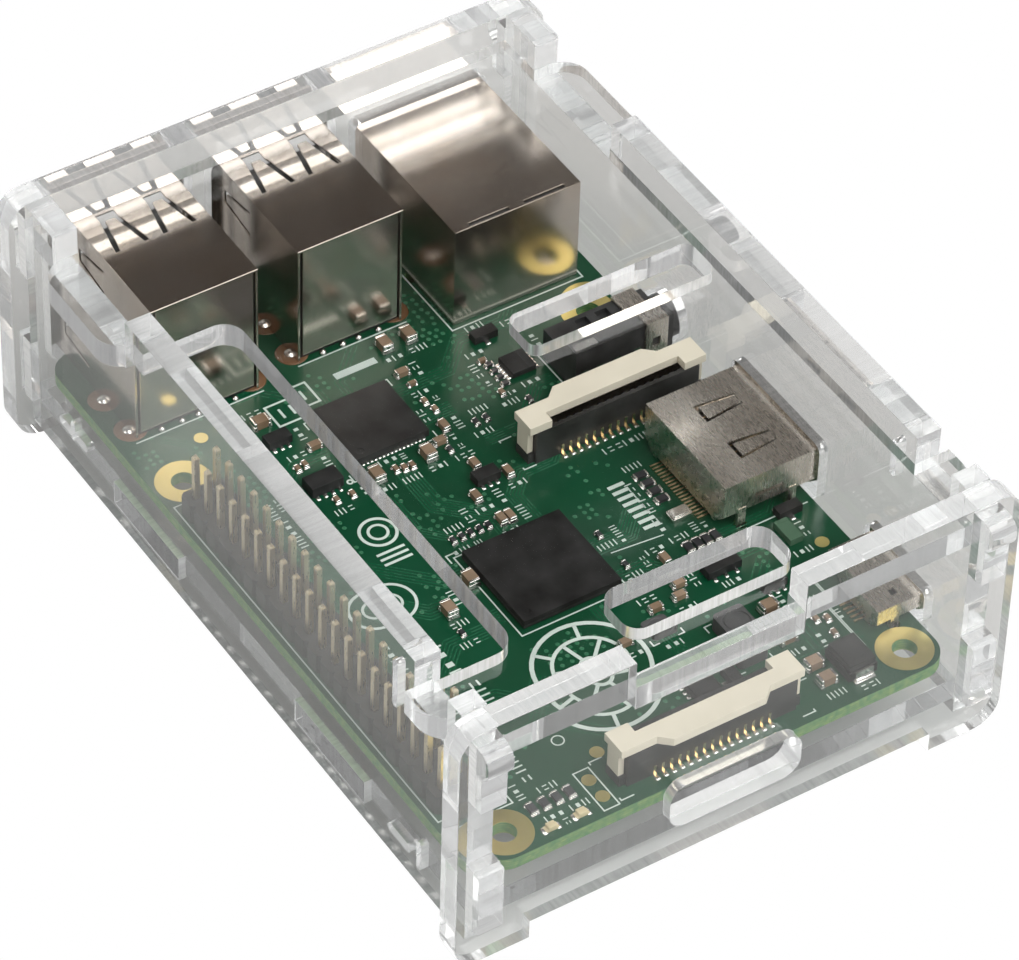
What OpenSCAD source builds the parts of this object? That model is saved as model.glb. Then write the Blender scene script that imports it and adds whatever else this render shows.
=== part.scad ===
// Credit-card-size single board computer in a clear snap-together case.
// Frame: +Z up, origin under the middle of the case on the surface it stands on,
// +X towards the storage card end, +Y towards the video and power ports.

/* [Case] */
// Thickness of every clear sheet
sheet_t = 3; // [2.8:0.1:3.1]
// Inner face of each side wall from the middle
wall_in = 28.5; // [28.3:0.1:28.7]
// Inner face of each end plate from the middle
end_in = 43; // [42.8:0.1:43.2]
// Half width of the end plates
end_half = 33.5; // [33.2:0.1:34]
// Height of the case, from the foot of its end plates
case_h = 33.6; // [33.4:0.1:34.4]
// Height of the lid's upper face, from the foot of the end plates
lid_top = 30.1; // [30:0.1:30.3]
// Gap left between neighbouring sheets
gap = 0.05; // [0.03:0.01:0.08]
// How far the lid's tabs stand out of the side walls
tab_out = 1.9; // [1:0.1:2.2]

/* [Board] */
// Height of the board's upper face, from the foot of the end plates
pcb_z = 10.6; // [10.6:0.1:10.8]
// Board thickness
pcb_t = 1.5; // [1.4:0.05:1.5]
// Board length
pcb_l = 85; // [84.8:0.1:85.2]
// Board width
pcb_w = 56; // [55.8:0.1:56.2]
// Fixing hole diameter
fix_d = 2.7; // [2.6:0.05:2.8]
// Length of the header pins over the board
pin_top = 8.5; // [8:0.1:9]

/* [Hidden] */
$fn = 48;
tail = 3;                        // solder tails below the board's upper face
floor_top = pcb_z - tail;        // upper face of the bottom sheet
floor_bot = floor_top - sheet_t;
wall_out = wall_in + sheet_t;
end_out = end_in + sheet_t;
lid_bot = lid_top - sheet_t;
sides = [-1, 1];

// colours that several pieces share
clear = "#e8f0f2";
clear_alpha = 0.35;
gilt = "#d9bd6a";
tin = "#cfcdc6";
shield = "#b9b3a8";
port_metal = "#c6c0b4";
port_black = "#1b1b1d";
chip_black = "#1d1e20";

// places on the board: x from the card end, y from the ports edge
fix_in = 3.5;
fix = [for (x = [fix_in, 61.5], y = [fix_in, pcb_w - fix_in]) [x, y]];
pitch = 2.54;
header_y = pcb_w - fix_in;
header_x = [for (i = [0:19]) 8.37 + pitch * i];
header_rows = about(pitch / 2, header_y);
usb_x = 69.6;
usb_y = [29, 47];
net_x = 65.8;
net_y = 10.25;
vid_x = 32;
pwr_x = 10.6;
av_x = 53.5;
camera_at = [44.8, 11.8, 0];
display_at = [3.85, 28.3, 0];
cpu_at = [29.3, 30.4, 0];
lan_at = [57.2, 34, 0];
surge_at = [4.6, 9.5, 0];

// ---------- helpers; a range is [low, high] ----------
function about(half, mid = 0) = [mid - half, mid + half];
// range from near to far, flipped across zero when s is -1
function side(s, near, far) = s > 0 ? [near, far] : [-far, -near];

// box and rectangle that fill the given ranges
module box(x, y, z)
  translate([x[0], y[0], z[0]]) cube([x[1] - x[0], y[1] - y[0], z[1] - z[0]]);
module rect(x, y) translate([x[0], y[0]]) square([x[1] - x[0], y[1] - y[0]]);
module round_rect(x, y, r) {
  rect([x[0] + r, x[1] - r], y);
  rect(x, [y[0] + r, y[1] - r]);
  for (cx = [x[0] + r, x[1] - r], cy = [y[0] + r, y[1] - r]) translate([cx, cy]) circle(r);
}
// rectangle whose upper corners only are round
module round_top_rect(x, y, r) {
  rect(x, [y[0], y[1] - r]);
  rect([x[0] + r, x[1] - r], y);
  for (cx = [x[0] + r, x[1] - r]) translate([cx, y[1] - r]) circle(r);
}
module plate(z0, t) translate([0, 0, z0]) linear_extrude(t) children();
// flat shape drawn in X and Z, stood up with its faces at y0 and y0 + t
module facing_y(y0, t) translate([0, y0 + t, 0]) rotate([90, 0, 0]) linear_extrude(t) children();
// flat shape drawn in Y and Z, stood up with its faces at x0 and x0 + t
module facing_x(x0, t) translate([x0, 0, 0]) rotate([90, 0, 90]) linear_extrude(t) children();
// board coordinates, z = 0 on the board's upper face
module on_board() translate([pcb_l / 2, pcb_w / 2, pcb_z]) rotate([0, 0, 180]) children();
// mirrored onto the board's underside
module below() translate([0, 0, -pcb_t]) mirror([0, 0, 1]) children();
// at a table row that starts x, y, turn
module place(row) translate([row[0], row[1], 0]) rotate([0, 0, row[2]]) children();
// a circle at every crossing of the columns and rows
module drill(columns, rows, r) for (x = columns, y = rows) translate([x, y]) circle(r);
// two slits and a cross cut free a spring tongue, wide at its root (x = 0), narrow at its tip
module spring_slits(length, root, tip, t, slit = 0.42, cross = 0.42) plate(-1, t + 2) {
  for (s = sides) polygon([[0, s * root / 2], [length, s * tip / 2],
    [length, s * (tip / 2 + slit)], [0, s * (root / 2 + slit)]]);
  translate([length - 0.1, -tip / 2 - slit]) square([cross, tip + 2 * slit]);
}

// ---------- case ----------
slack = 0.1;                     // play on each side of a tab in its slot
root = 1;                        // how far a tab reaches back into its sheet
under_lid = lid_bot - 0.03;      // foot of the notches for the lid's tabs
lid_tab_x = [-37, -22];
lid_ear_x = [34.6, 40.4];
lid_end_tab_y = [-13, 7];
header_gap_x = [-20, 35];
floor_tab_x = [-18.6, 18.6];     // middles
floor_tab_half = 6.7;
upper_tab_z = [23.1, 31.6];
lower_tab_z = [5.1, 13.6];
tab_end = end_out + 0.9;
hook_end = end_out + 2;
foot_h = 2.4;                    // clearance under the sheets between the feet
foot_in = 24.6;                  // inner edge of each foot
foot_r = 3.2;
port_low = pcb_z - 0.9;          // lower edge of the port openings

function loosened(range) = [range[0] - slack, range[1] + slack];

module inner_rect() rect(about(end_in - gap), about(wall_in - gap));
module lid_shape() difference() {
  union() {
    inner_rect();
    for (s = sides) {
      // tabs near the USB end
      difference() {
        round_rect(lid_tab_x, side(s, 20, wall_out + tab_out), 3);
        rect([-40, -20], about(24));
      }
      // ears near the card end, rounded on the card side only
      difference() {
        round_rect([30, lid_ear_x[1]], side(s, 20, wall_out + 1.2), 3.6);
        rect([-1, 49], about(24));
        rect([29, lid_ear_x[0]], side(s, 20, 40));
      }
    }
    // end tab, at the card end only
    rect([end_in - root, end_out], lid_end_tab_y);
  }
  // opening over the header, open to the edge
  rect(header_gap_x, [-wall_in - 1, -23]);
  round_rect(header_gap_x, [-26, -19.8], 2.5);
  // ribbon slots by the camera and display connectors
  round_rect([-5.4, 0], [4.5, 27.5], 1.2);
  round_rect([33.3, 39.6], [-9.4, 10.6], 2);
}
module top_plate() color(clear, clear_alpha) plate(lid_bot, sheet_t) lid_shape();

module bottom_plate() color(clear, clear_alpha) plate(floor_bot, sheet_t) difference() {
  union() {
    inner_rect();
    for (s = sides, x = floor_tab_x)
      rect(about(floor_tab_half, x), side(s, wall_in - root, wall_out));
  }
  for (s = sides) round_rect(about(8), about(2, s * 14), 1.9);
}

// slits by the side walls' end tabs: x range, z range, corner radius
side_slits = [
  [[30, 34.2], [5.2, 6.4], 0.55],
  [[35.4, 36.3], [4.6, 8.6], 0.42],
  [[-37, -31], [7, 8.2], 0.55],
  [[-34.5, -33.6], [6.6, 9.4], 0.42],
  [[30.5, 31.4], [24, 30.5], 0.42]];
// outline of both side walls, in X and Z
module side_shape() difference() {
  union() {
    rect(about(end_in - gap), [foot_h, case_h]);
    for (s = sides) {
      // hooked upper tab
      rect(side(s, end_in - root, tab_end), [upper_tab_z[0], 29.1]);
      round_rect(side(s, end_in - 4, hook_end), [28.1, upper_tab_z[1]], 1.4);
      // lower tab
      rect(side(s, end_in - root, tab_end), lower_tab_z);
    }
  }
  // notches for the lid's tabs and ears, open at the top
  for (x = [lid_tab_x, lid_ear_x]) rect(loosened(x), [under_lid, under_lid + 10]);
  // slots for the bottom sheet's tabs
  for (x = floor_tab_x)
    rect(about(floor_tab_half + slack, x), loosened([floor_bot, floor_top]));
  for (slit = side_slits) round_rect(slit[0], slit[1], slit[2]);
}
// opening for a port; top is measured from the board's upper face
module port_hole(mid, half, top, r)
  round_rect(about(half, mid), [port_low, pcb_z + top], r);

module side_wall_header() color(clear, clear_alpha) facing_y(-wall_out, sheet_t) side_shape();
module side_wall_ports() color(clear, clear_alpha) facing_y(wall_in, sheet_t) difference() {
  side_shape();
  port_hole(pcb_l / 2 - vid_x, 8.2, 7, 1);
  port_hole(pcb_l / 2 - pwr_x, 4.7, 3.7, 1);
  translate([pcb_l / 2 - av_x, pcb_z + 3]) circle(3.6);
}

// outline of both end plates, in Y and Z
module end_shape() difference() {
  union() {
    round_top_rect(about(end_half), [5.6, case_h], 3);
    rect(about(end_half - 3), [foot_h, foot_h + 4]);
    // feet, each with a round outer corner
    for (s = sides) {
      translate([s * (end_half - foot_r), foot_r]) circle(foot_r);
      rect(side(s, foot_in, end_half - foot_r), [0, 6]);
      rect(side(s, 27, end_half), [foot_r, foot_r + 6]);
    }
  }
  // slots for the side walls' tabs
  for (s = sides, z = [upper_tab_z, lower_tab_z])
    rect(side(s, wall_in - gap, wall_out + gap), loosened(z));
  // hollow between the feet
  round_rect(about(foot_in), [-2, foot_h], 1.5);
}
module end_plate_card() color(clear, clear_alpha) facing_x(end_in, sheet_t) difference() {
  end_shape();
  // notch for the lid's end tab
  rect(loosened(lid_end_tab_y), [under_lid, under_lid + 10]);
  // storage card opening
  round_rect(about(8), [pcb_z - 4.3, pcb_z + 1.5], 2);
}
module end_plate_ports() color(clear, clear_alpha) facing_x(-end_out, sheet_t) difference() {
  end_shape();
  for (y = usb_y) port_hole(pcb_w / 2 - y, 7.8, usb_h + 0.7, 0.8);
  port_hole(pcb_w / 2 - net_y, 8.4, net_h + 0.6, 0.8);
}

// ---------- board ----------
module pcb_holes() {
  for (p = fix) translate(p) circle(d = fix_d);
  drill(header_x, header_rows, 0.5);
  for (y = usb_y) translate([usb_x, y]) {
    drill(usb_pin_x, usb_pin_y, 0.46);
    drill(usb_leg_x, about(usb_leg_y), 1.15);
  }
  translate([net_x, net_y]) {
    for (p = concat(net_pins, net_lamp_pins)) translate(p) circle(0.45);
    drill([12], about(5.715), 1.65);
    drill([net_leg_x], about(net_leg_y), 0.85);
  }
  translate([vid_x, 0]) drill(about(vid_leg_x), vid_leg_y, 0.75);
  translate([pwr_x, 0]) drill(about(pwr_leg_x), [pwr_leg_y], 0.7);
  drill([av_x], av_peg_y, 0.85);
}
module circuit_board() color("#0b4a2c") on_board() plate(-pcb_t, pcb_t) difference() {
  round_rect([0, pcb_l], [0, pcb_w], 3);
  pcb_holes();
}
// plated rings round the fixing holes, above and below, and round test points
pad_t = 0.04;
test_points = [[5, 41.4], [2.46, 41.4], [7.8, 38.6], [17.9, 2.8], [66.2, 47.6]];
module plated_pads() color("#b9a86a") on_board() {
  for (z = [0, -pcb_t - pad_t]) plate(z, pad_t) difference() {
    for (p = fix) translate(p) circle(3.1);
    for (p = fix) translate(p) circle(d = fix_d);
  }
  plate(0, pad_t) for (p = test_points) translate(p) circle(0.78);
}

// ---------- header ----------
pin_half = 0.32;
pin_tip = 0.35;                  // height of the tapered tip
module header_pins() color("#d9c48a") on_board()
  for (x = header_x, y = header_rows) translate([x, y, 0]) {
    box(about(pin_half), about(pin_half), [-tail, pin_top - pin_tip]);
    translate([0, 0, pin_top - pin_tip]) rotate([0, 0, 45])
      cylinder(h = pin_tip, d1 = 0.905, d2 = 0.45, $fn = 4);
  }
// one chamfered block for each pair of pins
header_block = [[-1.27, -2.1], [-0.85, -2.54], [0.85, -2.54], [1.27, -2.1],
  [1.27, 2.1], [0.85, 2.54], [-0.85, 2.54], [-1.27, 2.1]];
module header_body() color("#17181a") on_board() difference() {
  for (x = header_x) translate([x, header_y, 0.001]) plate(0, 2.499) polygon(header_block);
  for (x = header_x, y = header_rows) translate([x, y, 0])
    box(about(pin_half), about(pin_half), [-1, 4]);
  // relief channel underneath
  box([header_x[0] - 0.6, header_x[19] + 0.6], about(0.3, header_y), [-1, 0.5]);
}

// ---------- USB stacks: two mouths facing +x ----------
shell_t = 0.3;                   // sheet metal of the USB and network shells
usb_l = 17.5;
usb_h = 15.9;
usb_w = 13.1;
usb_mouth_z = [1.3, 9.4];        // foot of each mouth
usb_mouth_h = 5.7;
usb_tongue_z = [3.8, 11.9];
usb_leg_x = [1.6, 7];
usb_leg_y = usb_w / 2 - shell_t / 2;
usb_pin_x = [0.9, 3.5];
usb_pin_y = [-3.5, -1, 1, 3.5];
module at_usb() on_board() for (y = usb_y) translate([usb_x, y, 0]) children();
module usb_shell() {
  inner = usb_w / 2 - shell_t;
  roof = usb_h - shell_t;
  frame_x = usb_l - 0.4;
  difference() {
    box([0, usb_l], about(usb_w / 2), [0, usb_h]);
    box([shell_t, usb_l + 1], about(inner), [-1, roof]);
    // spring tongues in the top and both sides
    for (y = [-2.9, 2.9]) translate([10, y, roof]) spring_slits(5, 3, 1.1, shell_t, 0.55, 1.2);
    for (s = sides, z = [4.1, 12.2])
      translate([10, s > 0 ? inner : -usb_w / 2 + shell_t, z])
        rotate([s > 0 ? -90 : 90, 0, 0]) spring_slits(5, 2.6, 1, shell_t);
    // the rear panel hangs free of the sides and stops short of the board
    for (s = sides) box([-1, shell_t + 0.01], side(s, inner - 0.3, inner), [-1, roof]);
    box([-1, shell_t + 0.01], about(inner), [-1, 0.7]);
  }
  // front frame with its turned-out lips
  difference() {
    box([frame_x, usb_l], about(7.45), [0.25, usb_h + 0.35]);
    for (z = usb_mouth_z) box([usb_l - 1, usb_l + 1], about(inner), [z, z + usb_mouth_h]);
  }
  // liners under both mouths and over the lower one
  for (z = [usb_mouth_z[0] - 0.2, usb_mouth_z[0] + usb_mouth_h, usb_mouth_z[1] - 0.2])
    box([usb_l - 9, frame_x], about(inner), [z, z + 0.2]);
  // legs through the board
  for (x = usb_leg_x, s = sides) translate([x, s * usb_leg_y, 0])
    box(about(0.8), about(shell_t / 2), [-tail, 0.01]);
}
module usb_shells() color(shield) at_usb() usb_shell();
// strip along the tongue, then down to its tail in the board
module usb_contact(z, x, y) {
  box([x - 0.15, usb_l - 2.2], about(0.5, y), [z - 0.2, z]);
  box(about(0.15, x), about(0.3, y), [-tail, z - 0.1]);
}
module usb_contact_set() for (y = usb_pin_y) {
  usb_contact(usb_tongue_z[0], usb_pin_x[1], y);
  usb_contact(usb_tongue_z[1], usb_pin_x[0], y);
}
module usb_contacts() color(gilt) at_usb() usb_contact_set();
module usb_insulators() color("#1c1c1e") at_usb() difference() {
  union() {
    box([0.4, 7.9], about(usb_w / 2 - 0.35), [0.05, usb_h - 0.35]);
    for (z = usb_tongue_z) box([7.8, usb_l - 1.2], about(5.55), [z - 0.35, z + 1.5]);
    box([7.8, usb_l - 0.5], about(usb_w / 2 - 0.5), [7.25, 9.15]);
  }
  usb_contact_set();
}

// ---------- network port, mouth facing +x ----------
net_l = 21.3;
net_w = 16;
net_h = 13.5;
net_leg_x = 9;
net_leg_y = net_w / 2 - shell_t / 2;
net_pins = [for (i = [0:7]) [4 + (i % 2) * pitch, -4.445 + i * pitch / 2]];
net_lamp_pins = [for (y = [-6.6, -4.1, 4.1, 6.6]) [1.2, y]];
net_lamp_y = 5.6;                // middle of each lamp
net_wire_z = 2.6;
module at_net() on_board() translate([net_x, net_y, 0]) children();
module network_port_shell() color(shield) at_net() {
  roof = net_h - shell_t;
  mouth_x = [net_l - 1, net_l + 1];
  difference() {
    box([0, net_l], about(net_w / 2), [0.05, net_h]);
    box([shell_t, net_l - shell_t], about(net_w / 2 - shell_t), [-1, roof]);
    // plug mouth with its latch step, and the lamp windows
    box(mouth_x, about(5.95), [1.2, 9.2]);
    box(mouth_x, about(3.1), [0.9, 11.4]);
    for (s = sides) box(mouth_x, about(1.6, s * net_lamp_y), [10.1, 12.4]);
    // slits of the grounding springs
    for (s = sides) translate([net_l - 7.5, s * net_w / 2, 5.6]) rotate([90, 0, 0])
      translate([0, 0, -0.5]) spring_slits(5.4, 2.8, 1.4, 1);
    // slots across the top, beside the rear panel
    for (y = [-3.6, 3.45]) box([0.22, 0.72], about(2.6, y), [roof - 1, roof + 2]);
  }
  for (s = sides) translate([net_leg_x, s * net_leg_y, 0])
    box(about(0.7), about(shell_t / 2), [-tail, 0.1]);
}
module net_contact_set() {
  for (p = net_pins) {
    translate([p.x, p.y, 0]) box(about(0.2), about(0.2), [-tail, net_wire_z]);
    translate([0, p.y, 0]) box([p.x - 0.2, 9], about(0.2), about(0.2, net_wire_z));
    // spring wire rising back into the mouth
    translate([9, p.y, net_wire_z]) rotate([0, -24, 0]) box([-0.1, 9.4], about(0.17), about(0.17));
  }
  for (p = net_lamp_pins) translate([p.x, p.y, 0]) box(about(0.2), about(0.2), [-tail, 9.9]);
}
module network_port_contacts() color(gilt) at_net() net_contact_set();
module network_port_lights() at_net() for (s = sides)
  color(s > 0 ? "#e8c04a" : "#7fd06a") difference() {
    box([0.8, net_l - 0.1], about(1.55, s * net_lamp_y), [10.15, 12.35]);
    net_contact_set();
  }
module network_port_insulator() color("#202124") at_net() difference() {
  box([0.35, net_l - 0.35], about(net_w / 2 - 0.35), [0.05, net_h - 0.35]);
  // plug cavity and lamp channels
  box([9.4, net_l + 1], about(5.9), [1.25, 9.15]);
  box([9.4, net_l + 1], about(3.05), [0.95, 11.35]);
  for (s = sides) box([0.75, net_l + 1], about(1.6, s * net_lamp_y), [10.1, 12.4]);
  net_contact_set();
  // comb slots for the spring wires
  for (p = net_pins) box([8.6, 14.6], about(0.25, p.y), [2.2, 6]);
}

// ---------- video and power ports, mouths facing -y ----------
// outline of a mouth in x and z, its lower corners cut away
module mouth(w, h, cut) polygon([[-w / 2, h], [w / 2, h], [w / 2, cut],
  [w / 2 - cut, 0], [-w / 2 + cut, 0], [-w / 2, cut]]);

vid_leg_x = 7.35;
vid_leg_y = [2.2, 8.6];
module at_video() on_board() translate([vid_x, 0, 0]) children();
module video_port_shell() color(port_metal) at_video() {
  difference() {
    translate([0, 0, 0.3]) union() {
      facing_y(-1.1, 12) mouth(15, 6, 1.7);
      // turned-out lip
      facing_y(-1.1, 0.4) mouth(15.9, 6.4, 1.8);
    }
    translate([0, 0, 0.55]) facing_y(-2, 12.6) mouth(14.5, 5.5, 1.6);
    // upper spring slits
    for (x = [-3.2, 3.2]) translate([x, 2, 5.6]) rotate([0, 0, 90])
      spring_slits(4.6, 1, 2, 1.4, 0.35);
    for (s = sides) box(about(0.5, s * 7.4), [3.4, 7], [3.2, 3.7]);
    box(about(5.1), [7.9, 11], [-1, 0.6]);
  }
  for (x = about(vid_leg_x), y = vid_leg_y) translate([x, y, 0])
    box(about(0.2), about(0.5), [-2.2, 2.4]);
}
// 19 contacts, turn about on the upper and lower face of the tongue
module vid_contact_set() for (i = [0:18]) {
  x = about(0.1, (i - 9) * 0.5);
  z = i % 2 == 0 ? 3.9 : 2.9;
  box(x, [10.2, 12.1], [0, 0.2]);
  box(x, [10.2, 10.4], [0, 4.05]);
  box(x, [1.6, 10.4], [z, z + 0.15]);
}
module video_port_contacts() color(gilt) at_video() vid_contact_set();
module video_port_insulator() color(port_black) at_video() difference() {
  union() {
    translate([0, 0, 0.65]) facing_y(8, 2.55) mouth(14.2, 5.25, 1.5);
    box(about(5.5), [0.6, 8.1], [3.05, 3.9]);
    box(about(5), [8, 10.55], [0.25, 1]);
  }
  vid_contact_set();
}

pwr_leg_x = 3.6;
pwr_leg_y = 2.4;
module at_power() on_board() translate([pwr_x, 0, 0]) children();
module power_port_shell() color(port_metal) at_power() {
  difference() {
    translate([0, 0, 0.15]) union() {
      facing_y(-1.2, 5.9) mouth(7.5, 2.75, 0.9);
      // turned-out lip
      facing_y(-1.2, 0.35) translate([0, -0.15]) mouth(8.3, 3.1, 1);
    }
    translate([0, 0, 0.4]) facing_y(-2, 6.45) mouth(7, 2.25, 0.8);
    for (x = [-1.9, 1.9]) box(about(0.45, x), [1.2, 2], [2.4, 4]);
    box(about(1.6), [3.9, 6], [-1, 0.6]);
  }
  for (x = about(pwr_leg_x)) translate([x, pwr_leg_y, 0])
    box(about(0.12), about(0.5), [-2.2, 1.4]);
}
module pwr_contact_set() for (i = [-2:2]) translate([i * 0.65, 0, 0]) {
  box(about(0.13), [4.2, 5.8], [0, 0.18]);
  box(about(0.13), [4.2, 4.4], [0, 1.7]);
  box(about(0.13), [0.4, 4.3], [1.55, 1.7]);
}
module power_port_contacts() color(gilt) at_power() pwr_contact_set();
module power_port_insulator() color(port_black) at_power() difference() {
  union() {
    translate([0, 0, 0.45]) facing_y(3.4, 1) mouth(6.9, 2.15, 0.75);
    box(about(1.9), [-0.6, 3.5], [1.7, 2.25]);
  }
  pwr_contact_set();
}

// ---------- sound and picture jack, barrel facing -y ----------
av_peg_y = [2.5, 9.5];
module at_av() on_board() translate([av_x, 0, 0]) children();
module av_contact_set() {
  // feet on both sides; the last is on the -x side only
  for (y = [4.6, 7.2, 9.4, 11.4], s = sides) if (y != 11.4 || s < 0) translate([0, y, 0]) {
    box(side(s, 2.9, 4.3), about(0.45), [0, 0.2]);
    box(side(s, 2.9, 3.2), about(0.45), [0, 2.6]);
  }
  // spring leaf on the upper face
  box([-2.9, -1.9], [9.6, 12.4], [5.4, 5.62]);
  box([-2.9, -2.7], [9.6, 12.4], [3.4, 5.5]);
}
module av_jack_contacts() color("#cfc9bd") at_av() av_contact_set();
module av_jack_shell() color(port_metal) at_av() difference() {
  box(about(3.5), [0.95, 3.8], [0.3, 5.8]);
  box(about(3.24), [0, 5], [-1, 5.54]);
  for (s = sides) box(about(0.5, s * 3.4), [1.9, 2.9], [2.1, 3.4]);
}
module av_jack_body() color("#1a1a1c") at_av() difference() {
  union() {
    box(about(3.2), [0.1, 12.6], [0.01, 5.5]);
    translate([0, 0.2, 3]) rotate([90, 0, 0]) cylinder(h = 2.9, r = 3);
    for (y = av_peg_y) translate([0, y, -1.3]) cylinder(h = 1.4, r = 0.75);
  }
  translate([0, 11.4, 3]) rotate([90, 0, 0]) cylinder(h = 20, r = 1.8);
  av_contact_set();
  // open troughs in the upper face
  for (y = [5, 7.6]) box([-1.4, 2.6], [y, y + 1.5], [4.9, 7]);
}

// ---------- ribbon connectors ----------
// local frame: x across, y along, 15 contact feet on the -x side;
// bulge is 1 or -1, the side of x that the latch bulges to
latch_half = 11.15;
// half latch plan follows this outline, for bulge = 1
latch_outline = [[-1.58, -latch_half], [1.58, -latch_half], [1.58, -6.9], [2.75, -5.6],
  [2.75, 5.6], [1.58, 6.9], [1.58, latch_half], [-1.58, latch_half],
  [-1.58, 8.4], [-0.2, 8.4], [-0.2, -8.4], [-1.58, -8.4]];
module ribbon_body(bulge) difference() {
  union() {
    box(about(1.6), about(10.3), [0.01, 4.4]);
    for (s = sides) box(about(1.2), about(0.4, s * 10.65), [0.01, 1.3]);
  }
  // slot for the ribbon and the latch tongue, with ribs along the side away from the bulge
  box(side(bulge, -0.75, 0.65), about(8.3), [0.8, 5]);
  for (y = [-7.5:7.5]) box(side(bulge, -1.15, -0.7), about(0.3, y), [3.2, 5]);
  ribbon_contacts(bulge);
}
module ribbon_latch(bulge) {
  plate(4.45, 1.05) polygon([for (p = latch_outline) [bulge * p.x, p.y]]);
  // tongue
  box(side(bulge, -0.1, 0.6), about(8), [1.6, 4.5]);
  // side arms
  for (s = sides) box(about(1), about(0.36, s * 10.74), [1.4, 4.5]);
}
module ribbon_contacts(bulge) {
  upright = side(bulge, -0.75, -0.55);
  for (i = [-7:7]) translate([0, i, 0]) {
    box([-2.4, -1.5], about(0.17), [0, 0.2]);
    box([-1.7, -1.5], about(0.17), [0, 1.3]);
    box([-1.7, upright[1]], about(0.17), [0.5, 0.7]);
    box(upright, about(0.17), [0.5, 2.9]);
  }
}
module at_camera() on_board() translate(camera_at) children();
module at_display() on_board() translate(display_at) children();
module camera_connector_body() color(port_black) at_camera() ribbon_body(1);
module camera_connector_latch() color("#e9e2cc") at_camera() ribbon_latch(1);
module camera_connector_contacts() color(gilt) at_camera() ribbon_contacts(1);
module display_connector_body() color(port_black) at_display() ribbon_body(-1);
module display_connector_latch() color("#e9e2cc") at_display() ribbon_latch(-1);
module display_connector_contacts() color(gilt) at_display() ribbon_contacts(-1);

// ---------- chips ----------
// the memory is stacked on the processor
package_half = 6;
processor_top = 0.62;
module processor_package() color("#20221f") on_board() translate(cpu_at) {
  box(about(package_half), about(package_half), [0.22, processor_top]);
  // solder balls, in a border two deep
  for (i = [-5:5], j = [-5:5]) if (max(abs(i), abs(j)) > 3)
    translate([i, j, 0]) cylinder(h = 0.23, r = 0.22);
}
module memory_package() color("#25272a") on_board() translate(cpu_at) difference() {
  box(about(package_half), about(package_half), [processor_top, 1.25]);
  translate([-4.9, 4.9, 1.2]) cylinder(h = 1, r = 0.4);
}
module lan_leads() for (a = [0:3]) rotate([0, 0, 90 * a])
  for (i = [-7.5:7.5]) translate([i * 0.5, 0, 0]) box(about(0.11), [3.9, 4.72], [0, 0.22]);
module network_controller_leads() color(tin) on_board() translate(lan_at) lan_leads();
module network_controller_body() color("#1d1f22") on_board() translate(lan_at) difference() {
  box(about(4.5), about(4.5), [0.05, 0.95]);
  translate([-3.5, 3.5, 0.9]) cylinder(h = 1, r = 0.45);
  lan_leads();
}

// shielded coils: x, y, turn, length, width, height
coils = [[11.6, 18, 0, 4, 3.6, 1.9], [16.4, 24.3, 0, 3, 3, 1.5]];
module coil(l, w, h) difference() {
  plate(0.01, h) round_rect(about(l / 2), about(w / 2), 0.5);
  // ring groove in the top
  translate([0, 0, h - 0.08]) difference() {
    cylinder(h = 1, r = w * 0.42);
    translate([0, 0, -1]) cylinder(h = 3, r = w * 0.36);
  }
}
module power_inductors() color("#3a3a3c") on_board()
  for (c = coils) place(c) coil(c[3], c[4], c[5]);

// diode that guards the power inlet
module surge_ends() for (s = sides) {
  box(side(s, 1.5, 2.6), about(1.1), [0, 0.2]);
  box(side(s, 2.2, 2.45), about(1.1), [0, 1.3]);
}
module surge_diode_terminals() color(tin) on_board() translate(surge_at) surge_ends();
module surge_diode_body() color(chip_black) on_board() translate(surge_at) difference() {
  union() {
    box(about(2.2), about(1.75), [0.1, 1.3]);
    box(about(2), about(1.6), [1.3, 2.1]);
  }
  surge_ends();
}

// small packages: x, y, turn, length, width, height, leads a side
regulators = [
  [44.1, 27.9, 90, 2.9, 1.6, 1.1, 3], [56.9, 15.7, 0, 3, 3, 0.8, 5],
  [61.4, 43.1, 90, 2.9, 1.6, 1.1, 3], [53.2, 42.4, 90, 3.9, 2.2, 1.4, 4],
  [21.2, 13.3, 90, 4.2, 1.7, 1.1, 3], [9.6, 24.6, 0, 3, 3, 0.9, 4],
  [15.4, 10.9, 90, 2.9, 1.6, 1.1, 3]];
module package_leads(l, w, count) for (s = sides, i = [0:count - 1])
  translate([(i - (count - 1) / 2) * (l - 0.4) / count * 1.05, s * w / 2, 0])
    box(about(0.13), side(s, -0.2, 0.45), [0, 0.2]);
module regulator_leads() color(tin) on_board()
  for (r = regulators) place(r) package_leads(r[3], r[4], r[6]);
module regulator_chips() color(chip_black) on_board()
  for (r = regulators) place(r) difference() {
    box(about(r[3] / 2), about(r[4] / 2), [0.06, r[5]]);
    package_leads(r[3], r[4], r[6]);
  }

// ---------- two-ended parts ----------
// half length, half width, length of each end, capacitor height
part_sizes = [[0.5, 0.26, 0.15, 0.45], [0.8, 0.41, 0.22, 0.7], [1.02, 0.63, 0.32, 1.05]];
resistor_h = 0.4;
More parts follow.
